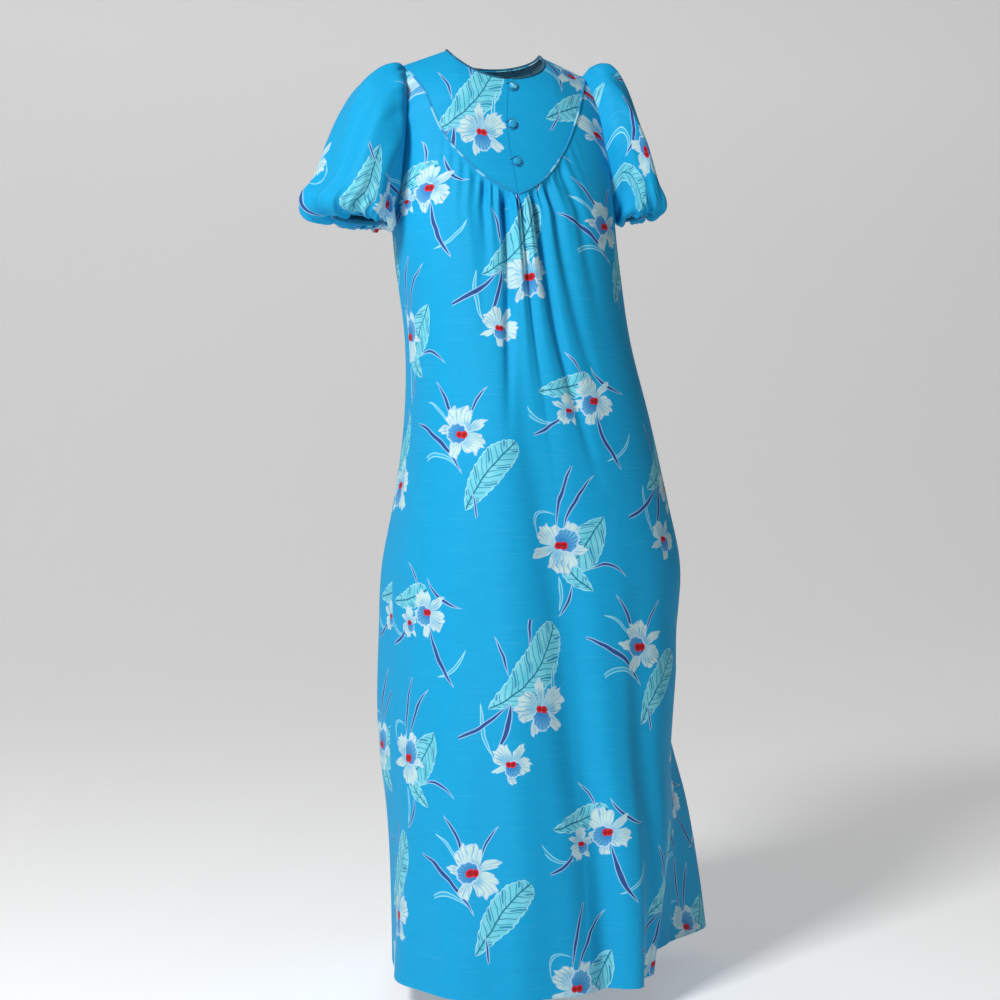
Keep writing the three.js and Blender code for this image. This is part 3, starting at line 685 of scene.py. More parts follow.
# %% Rings of the sleeves
RIGHT_RINGS = np.array([
    # out along x and z, under along x and z, half depth
    (-160, -29, -166, -262, 70), (-183, -38, -167, -266, 78), (-212, -62, -168, -269, 86),
    (-237, -103, -169, -272, 91), (-258, -150, -169, -275, 93), (-280, -203, -169, -277, 91),
    (-303, -235, -170, -278, 84), (-297, -256, -171, -279, 72), (-274, -264, -169, -274, 60),
    (-256, -255, -175, -265, 47),
], float)
LEFT_RINGS = np.array([
    (162, -15, 191, -259, 70), (184, -12, 192, -259, 76), (208, -42, 193, -259, 82),
    (230, -92, 194, -259, 86), (244, -140, 194.5, -259, 88), (257, -186, 195, -259, 86),
    (270, -216, 195, -259, 80), (273, -236, 196, -258, 70), (263, -246, 195.5, -254, 60),
    (251, -239, 200, -246, 47),
], float)
SLEEVE_ROWS, SLEEVE_COLUMNS = 90, 241
SLEEVE_GAP = 0.3
SLEEVE_FULLNESS, WIDEST_RING = 0.35, 0.55
RING_ROUNDNESS = 0.92


def armhole(turn, hand):
    """The ring of the armhole: turn 0 is the tip of the shoulder, and pi the underarm."""
    turn = np.mod(turn, 2 * math.pi)
    half_turn = np.where(turn <= math.pi, turn, 2 * math.pi - turn)
    share = (1 + np.cos(half_turn)) / 2
    x = hand * mix(UNDERARM[0], SHOULDER_TIP[0], share)
    z = mix(UNDERARM[1], SHOULDER_TIP[1], share)
    on_front = (turn <= math.pi)[..., None]
    place = np.where(on_front, on_form(x, z, FRONT), on_form(x, z, BACK))
    place[..., 0] += hand * SLEEVE_GAP
    return place


def sleeve_rings(rings, hand, turn):
    """Every ring at the given turns, the armhole first."""
    share = (1 + np.cos(turn)) / 2
    aside = signed_power(np.sin(turn), RING_ROUNDNESS)
    found = [armhole(turn, hand)]
    for out_x, out_z, under_x, under_z, deep in rings:
        x, z = mix(under_x, out_x, share), mix(under_z, out_z, share)
        found.append(np.stack([x, -deep * aside, z], -1))
    return np.stack(found)


def sleeve_base(rings, hand, turn, along):
    """The bare form of a sleeve: a smooth line through the rings at each turn."""
    held = sleeve_rings(rings, hand, turn)
    keys, at = np.arange(len(held)), along * len(rings)
    base = np.empty((along.size, turn.size, 3))
    for column in range(turn.size):
        for k in range(3):
            base[:, column, k] = smooth_through(keys, held[:, column, k], at)
    return base


# Ripples of the sleeve, each with its start along the sleeve, its rise, where it begins to
# fall, its fall, and its waves: how far out, how many in a turn, their lean and their start.
CAP_RIPPLE = (0, 0.1, 0, 0.6, [(3.4, 9, 0, 0), (1.7, 23, 0, 0.8)])
CUFF_RIPPLE = (0.45, 0.35, 0.93, 0.07, [(4.2, 7, 0, 1), (2, 19, 0, 0.4), (1.2, 37, 0, 0)])
SOFT_RIPPLE = (0, 0.3, 0.7, 0.3, [(3.6, 4, 4, 0.8), (2.2, 9, -6, 0)])
PINCH_RIPPLE = (0.86, 0.08, 0.975, 0.025, [(1.1, 31, 0, 0)])
CAP_WIDTH, PINCH_STRAY = 1.2, 0.6


def ripple(turn, along, row, stray=0.0):
    start, rise, top, fall, waves = row
    out = sum(
        depth * np.sin(count * turn + lean * along + begin + stray)
        for depth, count, lean, begin in waves
    )
    return out * ease((along - start) / rise) * (1 - ease((along - top) / fall))


def sleeve_ripple(turn, along):
    """Gathers of the cap and of the cuff, coarse ones and finer ones between them."""
    from_top = np.arctan2(np.sin(turn), np.cos(turn))
    cap = bump(from_top / CAP_WIDTH) * ripple(turn, along, CAP_RIPPLE)
    pinch = ripple(turn, along, PINCH_RIPPLE, PINCH_STRAY * np.sin(3 * turn))
    return cap + ripple(turn, along, CUFF_RIPPLE) + pinch + ripple(turn, along, SOFT_RIPPLE)


def sleeve(name, rings, hand):
    turn = np.linspace(-math.pi, math.pi, SLEEVE_COLUMNS)
    if hand > 0:
        turn = turn[::-1]
    along = np.concatenate([[0], np.linspace(0, 1, SLEEVE_ROWS), [1]])
    base = sleeve_base(rings, hand, turn, along)
    around = np.concatenate([base[:, -2:-1], base, base[:, 1:2]], axis=1)
    normals = normals_of(around[1:-1])[:, 1:-1]
    normals = np.pad(normals, [(1, 1), (0, 0), (0, 0)], mode="edge")
    tuck = np.zeros((along.size, 1))
    tuck[[0, -1]] = 1
    out = sleeve_ripple(turn[None, :], along[:, None]) - SEAM_TUCK * tuck
    points = base + normals * out[..., None]
    rings_length = lengths_along(base, 1)
    rings_length = rings_length - rings_length[:, turn.size // 2, None]
    widest = rings_length[int(WIDEST_RING * len(along))]
    u = mix(rings_length, widest, SLEEVE_FULLNESS)
    v = lengths_along(base, 0)
    v = v - v[-1:]
    panel = lay_out(name, *points.shape[:2])
    drape(panel, points, turned_print(u, -v, *SLEEVE_PRINT[hand]))
    weld(panel, SLEEVE_WELD)
    return panel


SLEEVE_PRINT = {-1: (150.0, (86.8, -386.3)), 1: (93.0, (14.1, -229.0))}
sleeve_right = sleeve("sleeve_right_cloth", RIGHT_RINGS, -1)
sleeve_left = sleeve("sleeve_left_cloth", LEFT_RINGS, 1)

# %% Sew the cloth to its thickness
panels = (front, back_right, back_left, yoke_right, yoke_left, sleeve_right, sleeve_left)
for panel in panels:
    thicken(panel)
    print(panel.name, "faces:", len(panel.data.polygons))

# %% [markdown]
# ## Cuffs
# The gathers at the end of a sleeve are held by a narrow folded band. The band is a ring of
# cloth under the last ring of the sleeve, with a rounded fold at its lower edge.

# %% Cuff bands
CUFF_SECTION = [
    # how far in from the sleeve's edge, and how far down, round the band's section
    (-0.4, 0.2), (0.5, 1.4), (0.7, 4), (0.6, 6.6), (-0.1, 8.2), (-1.2, 8.6), (-2, 7.8),
    (-2.3, 5), (-2.2, 1.6), (-1.4, 0.2), (-0.4, 0.2),
]
CUFF_COLUMNS = 241
PUCKER, PUCKER_FROM = 0.25, 3


def cuff_band(name, rings, hand):
    turn = np.linspace(-math.pi, math.pi, CUFF_COLUMNS)
    if hand > 0:
        turn = turn[::-1]
    end = sleeve_base(rings, hand, turn, np.array([1.0]))[0]
    middle = end[:-1].mean(axis=0)
    quarter = len(end) // 4
    down = np.cross(end[0] - middle, end[quarter] - middle)
    down = down / np.linalg.norm(down)
    down = -down if down[2] > 0 else down
    outward_way = end - middle
    outward_way = outward_way / np.linalg.norm(outward_way, axis=-1, keepdims=True)
    pucker = PUCKER * np.sin(38 * turn + 1.2 * np.sin(5 * turn))[:, None]
    points = np.stack([
        end + outward_way * (over + pucker * min(1, below / PUCKER_FROM)) + down * below
        for over, below in CUFF_SECTION
    ])
    around = np.broadcast_to(lengths_along(points, 1)[0], points.shape[:2])
    cut = np.stack([around, lengths_along(points, 0)], -1)
    band = lay_out(name, *points.shape[:2])
    drape(band, points, cut)
    weld(band, SLEEVE_WELD, turn_out=True)
    bpy.ops.object.shade_smooth()
    pieces[name] = band


cuff_band("cuff_right_band", RIGHT_RINGS, -1)
cuff_band("cuff_left_band", LEFT_RINGS, 1)
print("cuff faces:", len(pieces["cuff_right_band"].data.polygons))

# %% [markdown]
# ## Piping, binding and loops
# Piping is a cord wrapped in a strip of the same cloth and sewn into the yoke seam. The neck is
# finished with a narrow dark binding, and thin rolled loops hold the buttons. Each is a curve
# with a round section, turned into a mesh so that it can be shaded and exported.

# %% Cords along the seams


PIPING_SPAN, PIPING_RADIUS, PIPING_LIFT, PIPING_STEP = (0.004, 0.995), 1.6, 0.5, 2.5
BINDING_RADIUS, BINDING_LIFT, BINDING_STEP = 1.7, 0.2, 3.0
BUTTON_RADIUS, BUTTON_X, BUTTON_LEVELS = 6.6, 7.5, (-67, -127, -186)
LOOP_RADIUS, LOOP_LIFT, LOOP_STEP = 0.8, 0.9, 0.8
LOOP_TAIL_X, LOOP_CLEAR, LOOP_TURN = -4.5, 0.4, 128


def poly_line(points):
    """A curve with straight steps through points given in millimetres."""
    bpy.ops.object.select_all(action="DESELECT")
    bpy.ops.curve.primitive_nurbs_path_add()
    line = bpy.context.object
    line.data.splines.clear()
    spline = line.data.splines.new("POLY")
    spline.points.add(len(points) - 1)
    for point, place in zip(spline.points, points):
        point.co = (*(place * MM), 1)
    line.data.dimensions = "3D"
    line.data.twist_mode = "Z_UP"
    line.location = (0, 0, 0)
    return line


def cord_piece(name, points, radius, sides=6):
    """A tube through points given in millimetres, with rounded ends."""
    line = poly_line(points)
    from_end = np.minimum(np.arange(len(points)), np.arange(len(points))[::-1])
    swell = np.sqrt(np.clip((from_end + 0.25) / 2.25, 0, 1))
    line.data.splines[0].points.foreach_set("radius", swell)
    line.data.bevel_depth = radius * MM
    line.data.bevel_resolution = sides
    line.data.use_fill_caps = True
    only(line)
    bpy.ops.object.convert(target="MESH")
    tube = bpy.context.object
    tube.name = name
    weld(tube, CORD_WELD, turn_out=True)
    bpy.ops.object.shade_smooth()
    pieces[name] = tube


def resampled(points, spacing):
    """The same line with its points evenly spaced."""
    along = run_along(points)
    places = np.linspace(0, along[-1], max(8, int(along[-1] / spacing)))
    return np.stack([np.interp(places, along, points[:, k]) for k in range(3)], -1)


def seam_path(hand, span, lift, above=0.0):
    """A line along one half of the yoke seam, lifted off the cloth and moved above the seam."""
    share = np.linspace(*span, 160)
    x, z = yoke_seam(hand * share)
    place = on_form(x, z, FRONT)
    along = np.gradient(place, axis=0)
    along = along / np.linalg.norm(along, axis=-1, keepdims=True)
    out = outward(x, z, FRONT)
    up = np.cross(out, along) * hand
    return place + out * lift + up * above


for name, hand in (("piping_right_cord", -1), ("piping_left_cord", 1)):
    seam = resampled(seam_path(hand, PIPING_SPAN, PIPING_LIFT), PIPING_STEP)
    cord_piece(name, seam, PIPING_RADIUS)


def neck_path(lift):
    """The line of the neck edge, from the slit round the back and to the slit again."""
    share = np.linspace(0.03, 1, 60)[:, None] * NECK_SHARE
    legs = []
    for hand, side, order in ((1, FRONT, 1), (1, BACK, -1), (-1, BACK, 1), (-1, FRONT, -1)):
        x, z = top_edge(share[:, 0], NECK_FRONT_DROP if side == FRONT else NECK_BACK_DROP)
        x = hand * x
        place = on_form(x, z, side)
        towards = np.array([0.0, -12.0, 0.0]) - place
        towards[:, 2] = 0
        towards = towards / np.linalg.norm(towards, axis=-1, keepdims=True)
        legs.append((place + (towards * 0.35 + [0, 0, 1]) * lift)[::order])
    return resampled(np.concatenate([leg[:-1] for leg in legs]), BINDING_STEP)


neck_edge = neck_path(BINDING_LIFT + BINDING_RADIUS * 0.4)
cord_piece("neck_binding_strip", neck_edge, BINDING_RADIUS)


def loop_path(z):
    """The line of a loop: from the slit, round a button, and back to the slit."""
    reach_out = BUTTON_RADIUS + LOOP_RADIUS + LOOP_CLEAR
    turns = np.radians(np.linspace(LOOP_TURN, -LOOP_TURN, 25))
    flat = np.array(
        [(LOOP_TAIL_X, 3.2), (BUTTON_X - reach_out, 4.4)]
        + [(BUTTON_X + reach_out * math.cos(t), reach_out * math.sin(t)) for t in turns]
        + [(BUTTON_X - reach_out, -4.4), (LOOP_TAIL_X, -3.2)]
    )
    flat = rounded_line(flat, 4)
    x, level_z = flat[:, 0], z + flat[:, 1]
    return on_form(x, level_z, FRONT) + outward(x, level_z, FRONT) * LOOP_LIFT


for k, z in enumerate(BUTTON_LEVELS, 1):
    loop = resampled(loop_path(z), LOOP_STEP)
    cord_piece(f"button_loop_{k}_cord", loop, LOOP_RADIUS, sides=3)
cords = [name for name in pieces if "cord" in name or "strip" in name]
print("cords:", [(name, len(pieces[name].data.polygons)) for name in cords])

# %% [markdown]
# ## Covered buttons
# A covered button is a domed shell with cloth pulled over it and tucked in behind. One button
# is made from a cylinder: its top is inset and raised in steps to a dome, the tucked edge is
# pulled in, and a subdivision surface rounds it. The others are copies with their own mesh.

# %% Model one button and copy it
BUTTON_DEPTH, BUTTON_STAND, FACING = 2.2, 1.9, 0.9
# Steps of the dome and of the tucked back: how far in, and how far out.
DOME_STEPS = [(0.7, 0.75), (1.6, 0.8), (1.9, 0.45), (1.4, 0.12)]
TUCK_STEPS = [(1.3, 0.5), (2.2, -0.2)]


def select_faces(piece, test):
    """Selects the faces whose middle and normal pass a test, in object mode."""
    only(piece)
    bpy.ops.object.mode_set(mode="EDIT")
    bpy.ops.mesh.select_mode(type="FACE")
    bpy.ops.mesh.select_all(action="DESELECT")
    bpy.ops.object.mode_set(mode="OBJECT")
    for face in piece.data.polygons:
        face.select = bool(test(face.center, face.normal))


bpy.ops.object.select_all(action="DESELECT")
bpy.ops.mesh.primitive_cylinder_add(
    vertices=32, radius=BUTTON_RADIUS * MM, depth=BUTTON_DEPTH * MM
)
button = bpy.context.object
button.name = "button_form"
select_faces(button, lambda centre, normal: normal.z > FACING)
bpy.ops.object.mode_set(mode="EDIT")
for inset, rise in DOME_STEPS:
    bpy.ops.mesh.inset(thickness=inset * MM, depth=rise * MM)
bpy.ops.object.mode_set(mode="OBJECT")
select_faces(button, lambda centre, normal: normal.z < -FACING)
bpy.ops.object.mode_set(mode="EDIT")
for inset, rise in TUCK_STEPS:
    bpy.ops.mesh.inset(thickness=inset * MM, depth=rise * MM)
bpy.ops.object.mode_set(mode="OBJECT")
apply_modifier(button, "SUBSURF", levels=2, render_levels=2)
bpy.ops.object.shade_smooth()

for k, z in enumerate(BUTTON_LEVELS, 1):
    only(button)
    bpy.ops.object.duplicate()
    copy = bpy.context.object
    copy.name = f"button_{k}_covered"
    spot = np.array(BUTTON_X), np.array(float(z)), FRONT
    out = outward(*spot)
    seat = on_form(*spot) + out * BUTTON_STAND
    copy.rotation_euler = Vector(out).to_track_quat("Z", "X").to_euler()
    copy.location = seat * MM
    bpy.ops.object.transform_apply(location=True, rotation=True, scale=True)
    pieces[copy.name] = copy
bpy.data.objects.remove(button)
print("buttons:", len(BUTTON_LEVELS), "faces each:", len(copy.data.polygons))

# %% [markdown]
# ## Rows of stitches
# The hem is turned up and sewn through, and the edge of the yoke is sewn down beside its
# piping. One stitch is a short capsule of thread: a sphere whose halves are moved apart. An
# array modifier repeats it as often as the seam is long, and a curve modifier lays the row
# along the cloth, half sunk into it.

# %% A row of stitches along a line
STITCH_LENGTH, STITCH_PITCH, STITCH_RADIUS = 2.0, 3.0, 0.2
HEM_DEPTH, HEM_STEP = 44.0, 4.0
YOKE_STITCH_SPAN, YOKE_STITCH_STEP = (0.03, 0.97), 2.5
YOKE_STITCH_ABOVE, YOKE_STITCH_LIFT = 3.6, 0.08


def stitch_row(name, points):
    """Stitches along a line of points, given in millimetres."""
    line = poly_line(points)
    bpy.ops.object.select_all(action="DESELECT")
    bpy.ops.mesh.primitive_uv_sphere_add(segments=6, ring_count=4, radius=STITCH_RADIUS * MM)
    row = bpy.context.object
    row.name = name
    for vertex in row.data.vertices:
        side = (vertex.co.x > 1e-6) - (vertex.co.x < -1e-6)
        vertex.co.x = vertex.co.x + (side + 1) * (STITCH_LENGTH / 2 - STITCH_RADIUS) * MM
    apply_modifier(
        row, "ARRAY", fit_type="FIT_CURVE", curve=line, use_relative_offset=False,
        use_constant_offset=True, constant_offset_displace=(STITCH_PITCH * MM, 0, 0),
    )
    apply_modifier(row, "CURVE", object=line, deform_axis="POS_X")
    only(row)
    bpy.ops.object.shade_smooth()
    bpy.data.objects.remove(line)
    pieces[name] = row
    print(name, "faces:", len(row.data.polygons))


def level_line(points, z):
    """Where the columns of a draped grid cross a level, a little in from its side edges."""
    places = []
    for column in range(2, points.shape[1] - 2):
        run = points[1:-1, column]
        order = np.argsort(run[:, 2])
        places.append([np.interp(z, run[order, 2], run[order, k]) for k in range(3)])
    return resampled(np.array(places), HEM_STEP)


# %% Sew the hem and the edge of the yoke
for part in ("front", "back_right", "back_left"):
    hem_line = level_line(grids[f"{part}_cloth"], HEM_Z + HEM_DEPTH)
    stitch_row(f"{part}_hem_stitches", hem_line)
for name, hand in (("yoke_right_stitches", -1), ("yoke_left_stitches", 1)):
    edge_line = seam_path(hand, YOKE_STITCH_SPAN, YOKE_STITCH_LIFT, YOKE_STITCH_ABOVE)
    stitch_row(name, resampled(edge_line, YOKE_STITCH_STEP))

# %% [markdown]
# ## Writing a material as a sum
# A finish is a sum of simple things: a cloth colour, a shape here, a line there. Small
# expressions say that better than a page of wired nodes, so one class wraps a socket and turns
# each Python operator into a Math node. Colours and places go through their own kinds of node.

# %% A socket that can be used in expressions
class Signal:
    """A socket of a node tree. Its operators add Math nodes, and make() adds any node."""

    def __init__(self, tree, socket=None):
        self.tree = tree
        self.socket = socket

    def make(self, kind, settings=None, sockets=None, output=0):
        node = self.tree.nodes.new("ShaderNode" + kind)
        for name, value in (settings or {}).items():
            setattr(node, name, value)
        for key, value in (sockets or {}).items():
            if isinstance(value, Signal):
                self.tree.links.new(value.socket, node.inputs[key])
            else:
                node.inputs[key].default_value = value
        return Signal(self.tree, node.outputs[output])

    def math(self, operation, *values, clamp=False):
        settings = {"operation": operation, "use_clamp": clamp}
        return self.make("Math", settings, dict(enumerate(values)))

    def vector(self, operation, *values, output=0):
        return self.make("VectorMath", {"operation": operation}, dict(enumerate(values)), output)

    def __add__(self, other):
        return self.math("ADD", self, other)

    def __sub__(self, other):
        return self.math("SUBTRACT", self, other)

    def __rsub__(self, other):
        return self.math("SUBTRACT", other, self)

    def __mul__(self, other):
        return self.math("MULTIPLY", self, other)

    def __truediv__(self, other):
        return self.math("DIVIDE", self, other)

    def __pow__(self, other):
        return self.math("POWER", self, other)

    __radd__, __rmul__ = __add__, __mul__

    def times_plus(self, factor, term, clamp=False):
        return self.math("MULTIPLY_ADD", self, factor, term, clamp=clamp)

    def size(self):
        return self.math("ABSOLUTE", self)

    def rounded(self):
        return self.math("ROUND", self)

    def at_least(self, other):
        return self.math("MAXIMUM", self, other)

    def at_most(self, other):
        return self.math("MINIMUM", self, other)

    def clamped(self):
        return self.times_plus(1, 0, clamp=True)

    def root(self):
        return self.math("SQRT", self)

    def wave(self):
        """A zigzag: 1 at each whole number and 0 halfway between."""
        return self.math("PINGPONG", self, 0.5).times_plus(-2, 1)

    def sine(self, rate=1.0, start=0.0):
        return self.math("SINE", self.times_plus(rate, start))

    def step(self, edge, blur):
        """0 below the edge and 1 above it, with a soft change of the given width."""
        return self.times_plus(1 / blur, 0.5 - edge / blur, clamp=True)

    def part(self, axis):
        return self.make("SeparateXYZ", None, {0: self}, axis)

    def colour(self, below, above):
        """A colour that goes from one to another as this signal goes from 0 to 1."""
        sockets = {0: self, 6: below, 7: above}
        return self.make("Mix", {"data_type": "RGBA"}, sockets, 2)


def paint(red, green, blue):
    """A colour given as on a screen, 0 to 255, in the linear values that light needs."""
    linear = [(v / 255 + 0.055) / 1.055 for v in (red, green, blue)]
    return (*[v**2.4 if v > 0.09 else v * 1.055 / 12.92 for v in linear], 1.0)


print("cloth blue in linear values:", [round(v, 3) for v in paint(0, 160, 214)])

# %% [markdown]
# ## The printed pattern
# The cloth is printed with sprays of orchids, broad leaves and thin blades of grass. A screen
# print repeats: here the repeat is 640 millimetres down the cloth, and each column of sprays is
# set half a repeat lower than the one beside it. Four sprays make up the repeat. The shader
# finds the nearest spray, measures its own distance from that flower, and then chooses one row
# of each table, so every flower is drawn by the same few formulas.

# %% Tables of the print, in millimetres on the flat cloth
COLUMN_WIDTH, HALF_DROP, REPEAT = 285.0, 320.0, 640.0
SPRAY_PLACES = [(-105, -341), (112, -290), (48, -508), (8, -745)]
SPRAY_REACH = (0, 0, 3000, 6000)
NOWHERE = (900, 900, 901, 900, 0, 0.01)

# Orchids: throat across and up, size, turn of the petals, lip across and up, lip radius.
ORCHIDS = [
    [(0, 0, 44, 30, -7, 1, 16), (0, 0, 39, 45, -8, -6, 16),
     (0, 0, 45, 205, 9, 9, 19), (0, 0, 45, 100, 0, -15, 15)],
    [(900, 900, 1, 0, 0, 0, 1), (-45, -15, 26, 160, 3, -6, 9),
     (900, 900, 1, 0, 0, 0, 1), (-51, -77, 33, 60, 3, -7, 12)],
]

# Leaves and blades: from, to, how far the middle bows to the left of the way, half width.
LEAVES = [
    [(2, -116, 84, -12, 6, 25), (-96, 12, 2, 34, -4, 19),
     (70, 46, 10, -30, 4, 30), (-84, 0, 26, 122, -20, 31)],
    [NOWHERE, NOWHERE, (50, -68, 0, -18, 4, 16), NOWHERE],
]
NAVY_BLADES = [
    [(-48, 80, -12, 12, 6, 4.4), (-112, -56, -50, -18, -5, 4.4),
     (26, 132, -6, 22, -7, 4.4), (-150, -48, -48, 10, -8, 4.8)],
    [(-112, 20, 4, -62, 16, 5.2), (4, -14, 50, -108, -9, 5.2),
     (62, 108, 4, 20, -9, 4.4), (-48, 14, -72, -64, 7, 5)],
    [(44, 72, 12, 16, -6, 3.8), (2, 54, 66, 12, -12, 4.2),
     (40, -36, 108, -50, 14, 4), (-70, 106, -50, 46, 4, 4)],
    [(14, -84, 22, -136, 3, 3.4), (-46, 76, -16, 32, 5, 3.4),
     (16, -56, -6, -106, 6, 4), (-8, 150, -16, 88, -3, 4)],
]
AQUA_BLADES = [
    [(-98, -72, 4, -56, 32, 4.4), (-122, 20, -56, -36, -22, 4.2),
     (-36, 10, -2, 44, 27, 3.6), (-92, 10, -76, -70, -6, 4)],
    [(-70, 50, -16, 4, 9, 3.4), (14, -92, 70, -46, -10, 3.6),
     (-5, -44, -4, -98, 4, 3.8), (26, 68, 36, -2, -11, 3.8)],
]
print("elements in the repeat:", 4 * (2 + 2 + 4 + 2))

# %% Finding the nearest spray


def nearest_spray(place):
    """The way from the nearest spray's throat, and a mask for each spray."""
    u, v = place.part(0), place.part(1)
    found = []
    for (across, up), reach_squared in zip(SPRAY_PLACES, SPRAY_REACH):
        x = u - across
        column = (x / COLUMN_WIDTH).rounded()
        x = column.times_plus(-COLUMN_WIDTH, x)
        y = column.times_plus(-HALF_DROP, v - up)
        turn = (y / REPEAT).rounded()
        y = turn.times_plus(-REPEAT, y)
        found.append((x, y, x.times_plus(x, y.times_plus(y, -reach_squared))))
    least = found[0][2]
    for _, _, far in found[1:]:
        least = least.at_most(far)
    masks = [least.math("GREATER_THAN", least + 0.01, far) for _, _, far in found]
    x = sum((found[k][0] * masks[k] for k in (1, 2, 3)), found[0][0] * masks[0])
    y = sum((found[k][1] * masks[k] for k in (1, 2, 3)), found[0][1] * masks[0])
    return u.make("CombineXYZ", None, {0: x, 1: y}), masks


def choose(masks, rows):
    """The row of three numbers that belongs to the nearest spray."""
    last = np.array(rows[-1], float)
    found = tuple(last)
    for mask, row in zip(masks, rows[:-1]):
        found = mask.vector("MULTIPLY_ADD", mask, tuple(np.array(row, float) - last), found)
    return found


def stroke(place, masks, rows):
    """Where a point lies along and across a leaf or blade, and that one's form."""
    starts, ways, forms = [], [], []
    for x0, y0, x1, y1, bow, half in rows:
        length = math.hypot(x1 - x0, y1 - y0)
        starts.append((x0, y0, 0))
        ways.append(((x1 - x0) / length**2, (y1 - y0) / length**2, 0))
        forms.append((bow / length, half / length, length))
    way, form = choose(masks, ways), choose(masks, forms)
    offset = place.vector("SUBTRACT", place, choose(masks, starts))
    along = place.vector("DOT_PRODUCT", offset, way, output=1).clamped()
    aside = place.vector("CROSS_PRODUCT", way, offset).part(2)
    arch = along * (1 - along) * 4
    aside = aside - form.part(0) * arch
    return along, aside, arch, form


BLADE_TAPER, BLADE_TRIM = 0.6, 0.7


def blade_edge(place, masks, rows):
    """How deep a point lies inside a tapered blade, in millimetres."""
    _, aside, arch, form = stroke(place, masks, rows)
    return (form.part(1) * arch**BLADE_TAPER - aside.size()) * form.part(2) - BLADE_TRIM


print("blades in each spray:", len(NAVY_BLADES) + len(AQUA_BLADES))

# %% The colours of the print
CLOTH_BLUE, CLOTH_DEEP = paint(0, 163, 216), paint(0, 152, 206)
NAVY, NAVY_RIM = paint(40, 78, 146), paint(150, 198, 232)
AQUA, AQUA_RIM = paint(52, 176, 222), paint(160, 222, 240)
LEAF, LEAF_PALE, LEAF_RIM = paint(92, 198, 220), paint(134, 216, 232), paint(176, 230, 242)
VEIN, SLIT = paint(24, 116, 150), paint(8, 128, 172)
PETAL, PETAL_WARM = paint(198, 226, 226), paint(214, 220, 204)
PETAL_SHADE, PETAL_LINE = paint(96, 178, 218), paint(52, 136, 190)
PETAL_EDGE = paint(166, 206, 238)
LIP, LIP_DEEP = paint(112, 192, 228), paint(44, 132, 198)
LIP_LINE, LIP_RIM = paint(36, 112, 178), paint(184, 214, 240)
THROAT, THROAT_DEEP = paint(206, 26, 40), paint(150, 8, 26)
LEAF_TIP, LEAF_ROOT, LEAF_SWELL = 0.75, 0.4, 2.1
VEIN_SPACING, VEIN_SLANT, VEIN_STRENGTH, SLIT_STRENGTH = 10.5, 0.9, 0.8, 0.85
RIB_HALF, LEAF_RIM_WIDTH, BLADE_RIM_WIDTH = 1.1, 1.2, 1.5


def draw_leaf(base, place, masks, rows, wobble):
    """A broad pointed leaf with a notched edge, a midrib, side veins and slits between them."""
    along, aside, _, form = stroke(place, masks, rows)
    length = form.part(2)
    profile = along**LEAF_TIP * (1 - along) ** LEAF_ROOT * LEAF_SWELL
    rib = aside.size() * length
    ribs = (along * length - rib * VEIN_SLANT) / VEIN_SPACING + wobble * 0.8
    at_vein = ribs.wave()
    edge = form.part(1) * profile * length - rib + wobble * 3 - at_vein * 1.6 - BLADE_TRIM
    vein = at_vein.step(0.84, 0.14) * edge.step(2.5, 2)
    slit = (0.42 - (ribs / 3).wave()).step(0.3, 0.08) * rib.step(7, 3)
    inside = wobble.times_plus(1.8, 0.4, clamp=True).colour(LEAF, LEAF_PALE)
    inside = (vein * VEIN_STRENGTH).colour(inside, VEIN)
    inside = (slit * SLIT_STRENGTH).colour(inside, SLIT)
    inside = (1 - rib.step(RIB_HALF, 0.8)).colour(inside, VEIN)
    inside = edge.step(LEAF_RIM_WIDTH, 0.8).colour(LEAF_RIM, inside)
    return edge.step(0.25, 0.5).colour(base, inside)


def draw_blades(base, place, masks, tables, fill, rim):
    edge = blade_edge(place, masks, tables[0])
    for rows in tables[1:]:
        edge = edge.at_least(blade_edge(place, masks, rows))
    inside = edge.step(BLADE_RIM_WIDTH, 0.5).colour(rim, fill)
    return edge.step(0.25, 0.5).colour(base, inside)


# Petals: the turn of the middle from the top one in whole turns, half width, length, and how
# round the end is. The two side petals are broad and ruffled, the three others are pointed.
PETALS = [(0, 0.072, 0.74, 1.0), (0.2, 0.118, 0.64, 0.36), (0.385, 0.068, 0.66, 0.95)]
PETAL_ROOT, THROAT_RADIUS, THROAT_APART = 0.28, 0.13, 0.085
PETAL_RIM_WIDTH, LIP_RIM_WIDTH, LIP_FRILL = 0.045, 0.13, (9, 0.6, 0.045)
# Frills of the petals: how many in a turn, where they start, and how deep they are.
FRILLS = [(19, 0.4, 0.07), (31, 1.9, 0.04)]


def nearer_orchid(place, masks):
    """The throat, the lip and the turn of the nearer of a spray's two orchids."""
    kinds = [
        [choose(masks, [row[:3] for row in rows]) for rows in ORCHIDS],
        [choose(masks, [row[4:] for row in rows]) for rows in ORCHIDS],
        [choose(masks, [(math.radians(row[3]), 0, 0) for row in rows]) for rows in ORCHIDS],
    ]
    distances = []
    for throat in kinds[0]:
        flat = throat.vector("MULTIPLY", throat, (1, 1, 0))
        distances.append(place.vector("DISTANCE", place, flat, output=1) / throat.part(2))
    second = distances[0].math("GREATER_THAN", distances[0], distances[1])
    pick = {"data_type": "VECTOR"}
    return [second.make("Mix", pick, {0: second, 4: a, 5: b}, 1) for a, b in kinds]


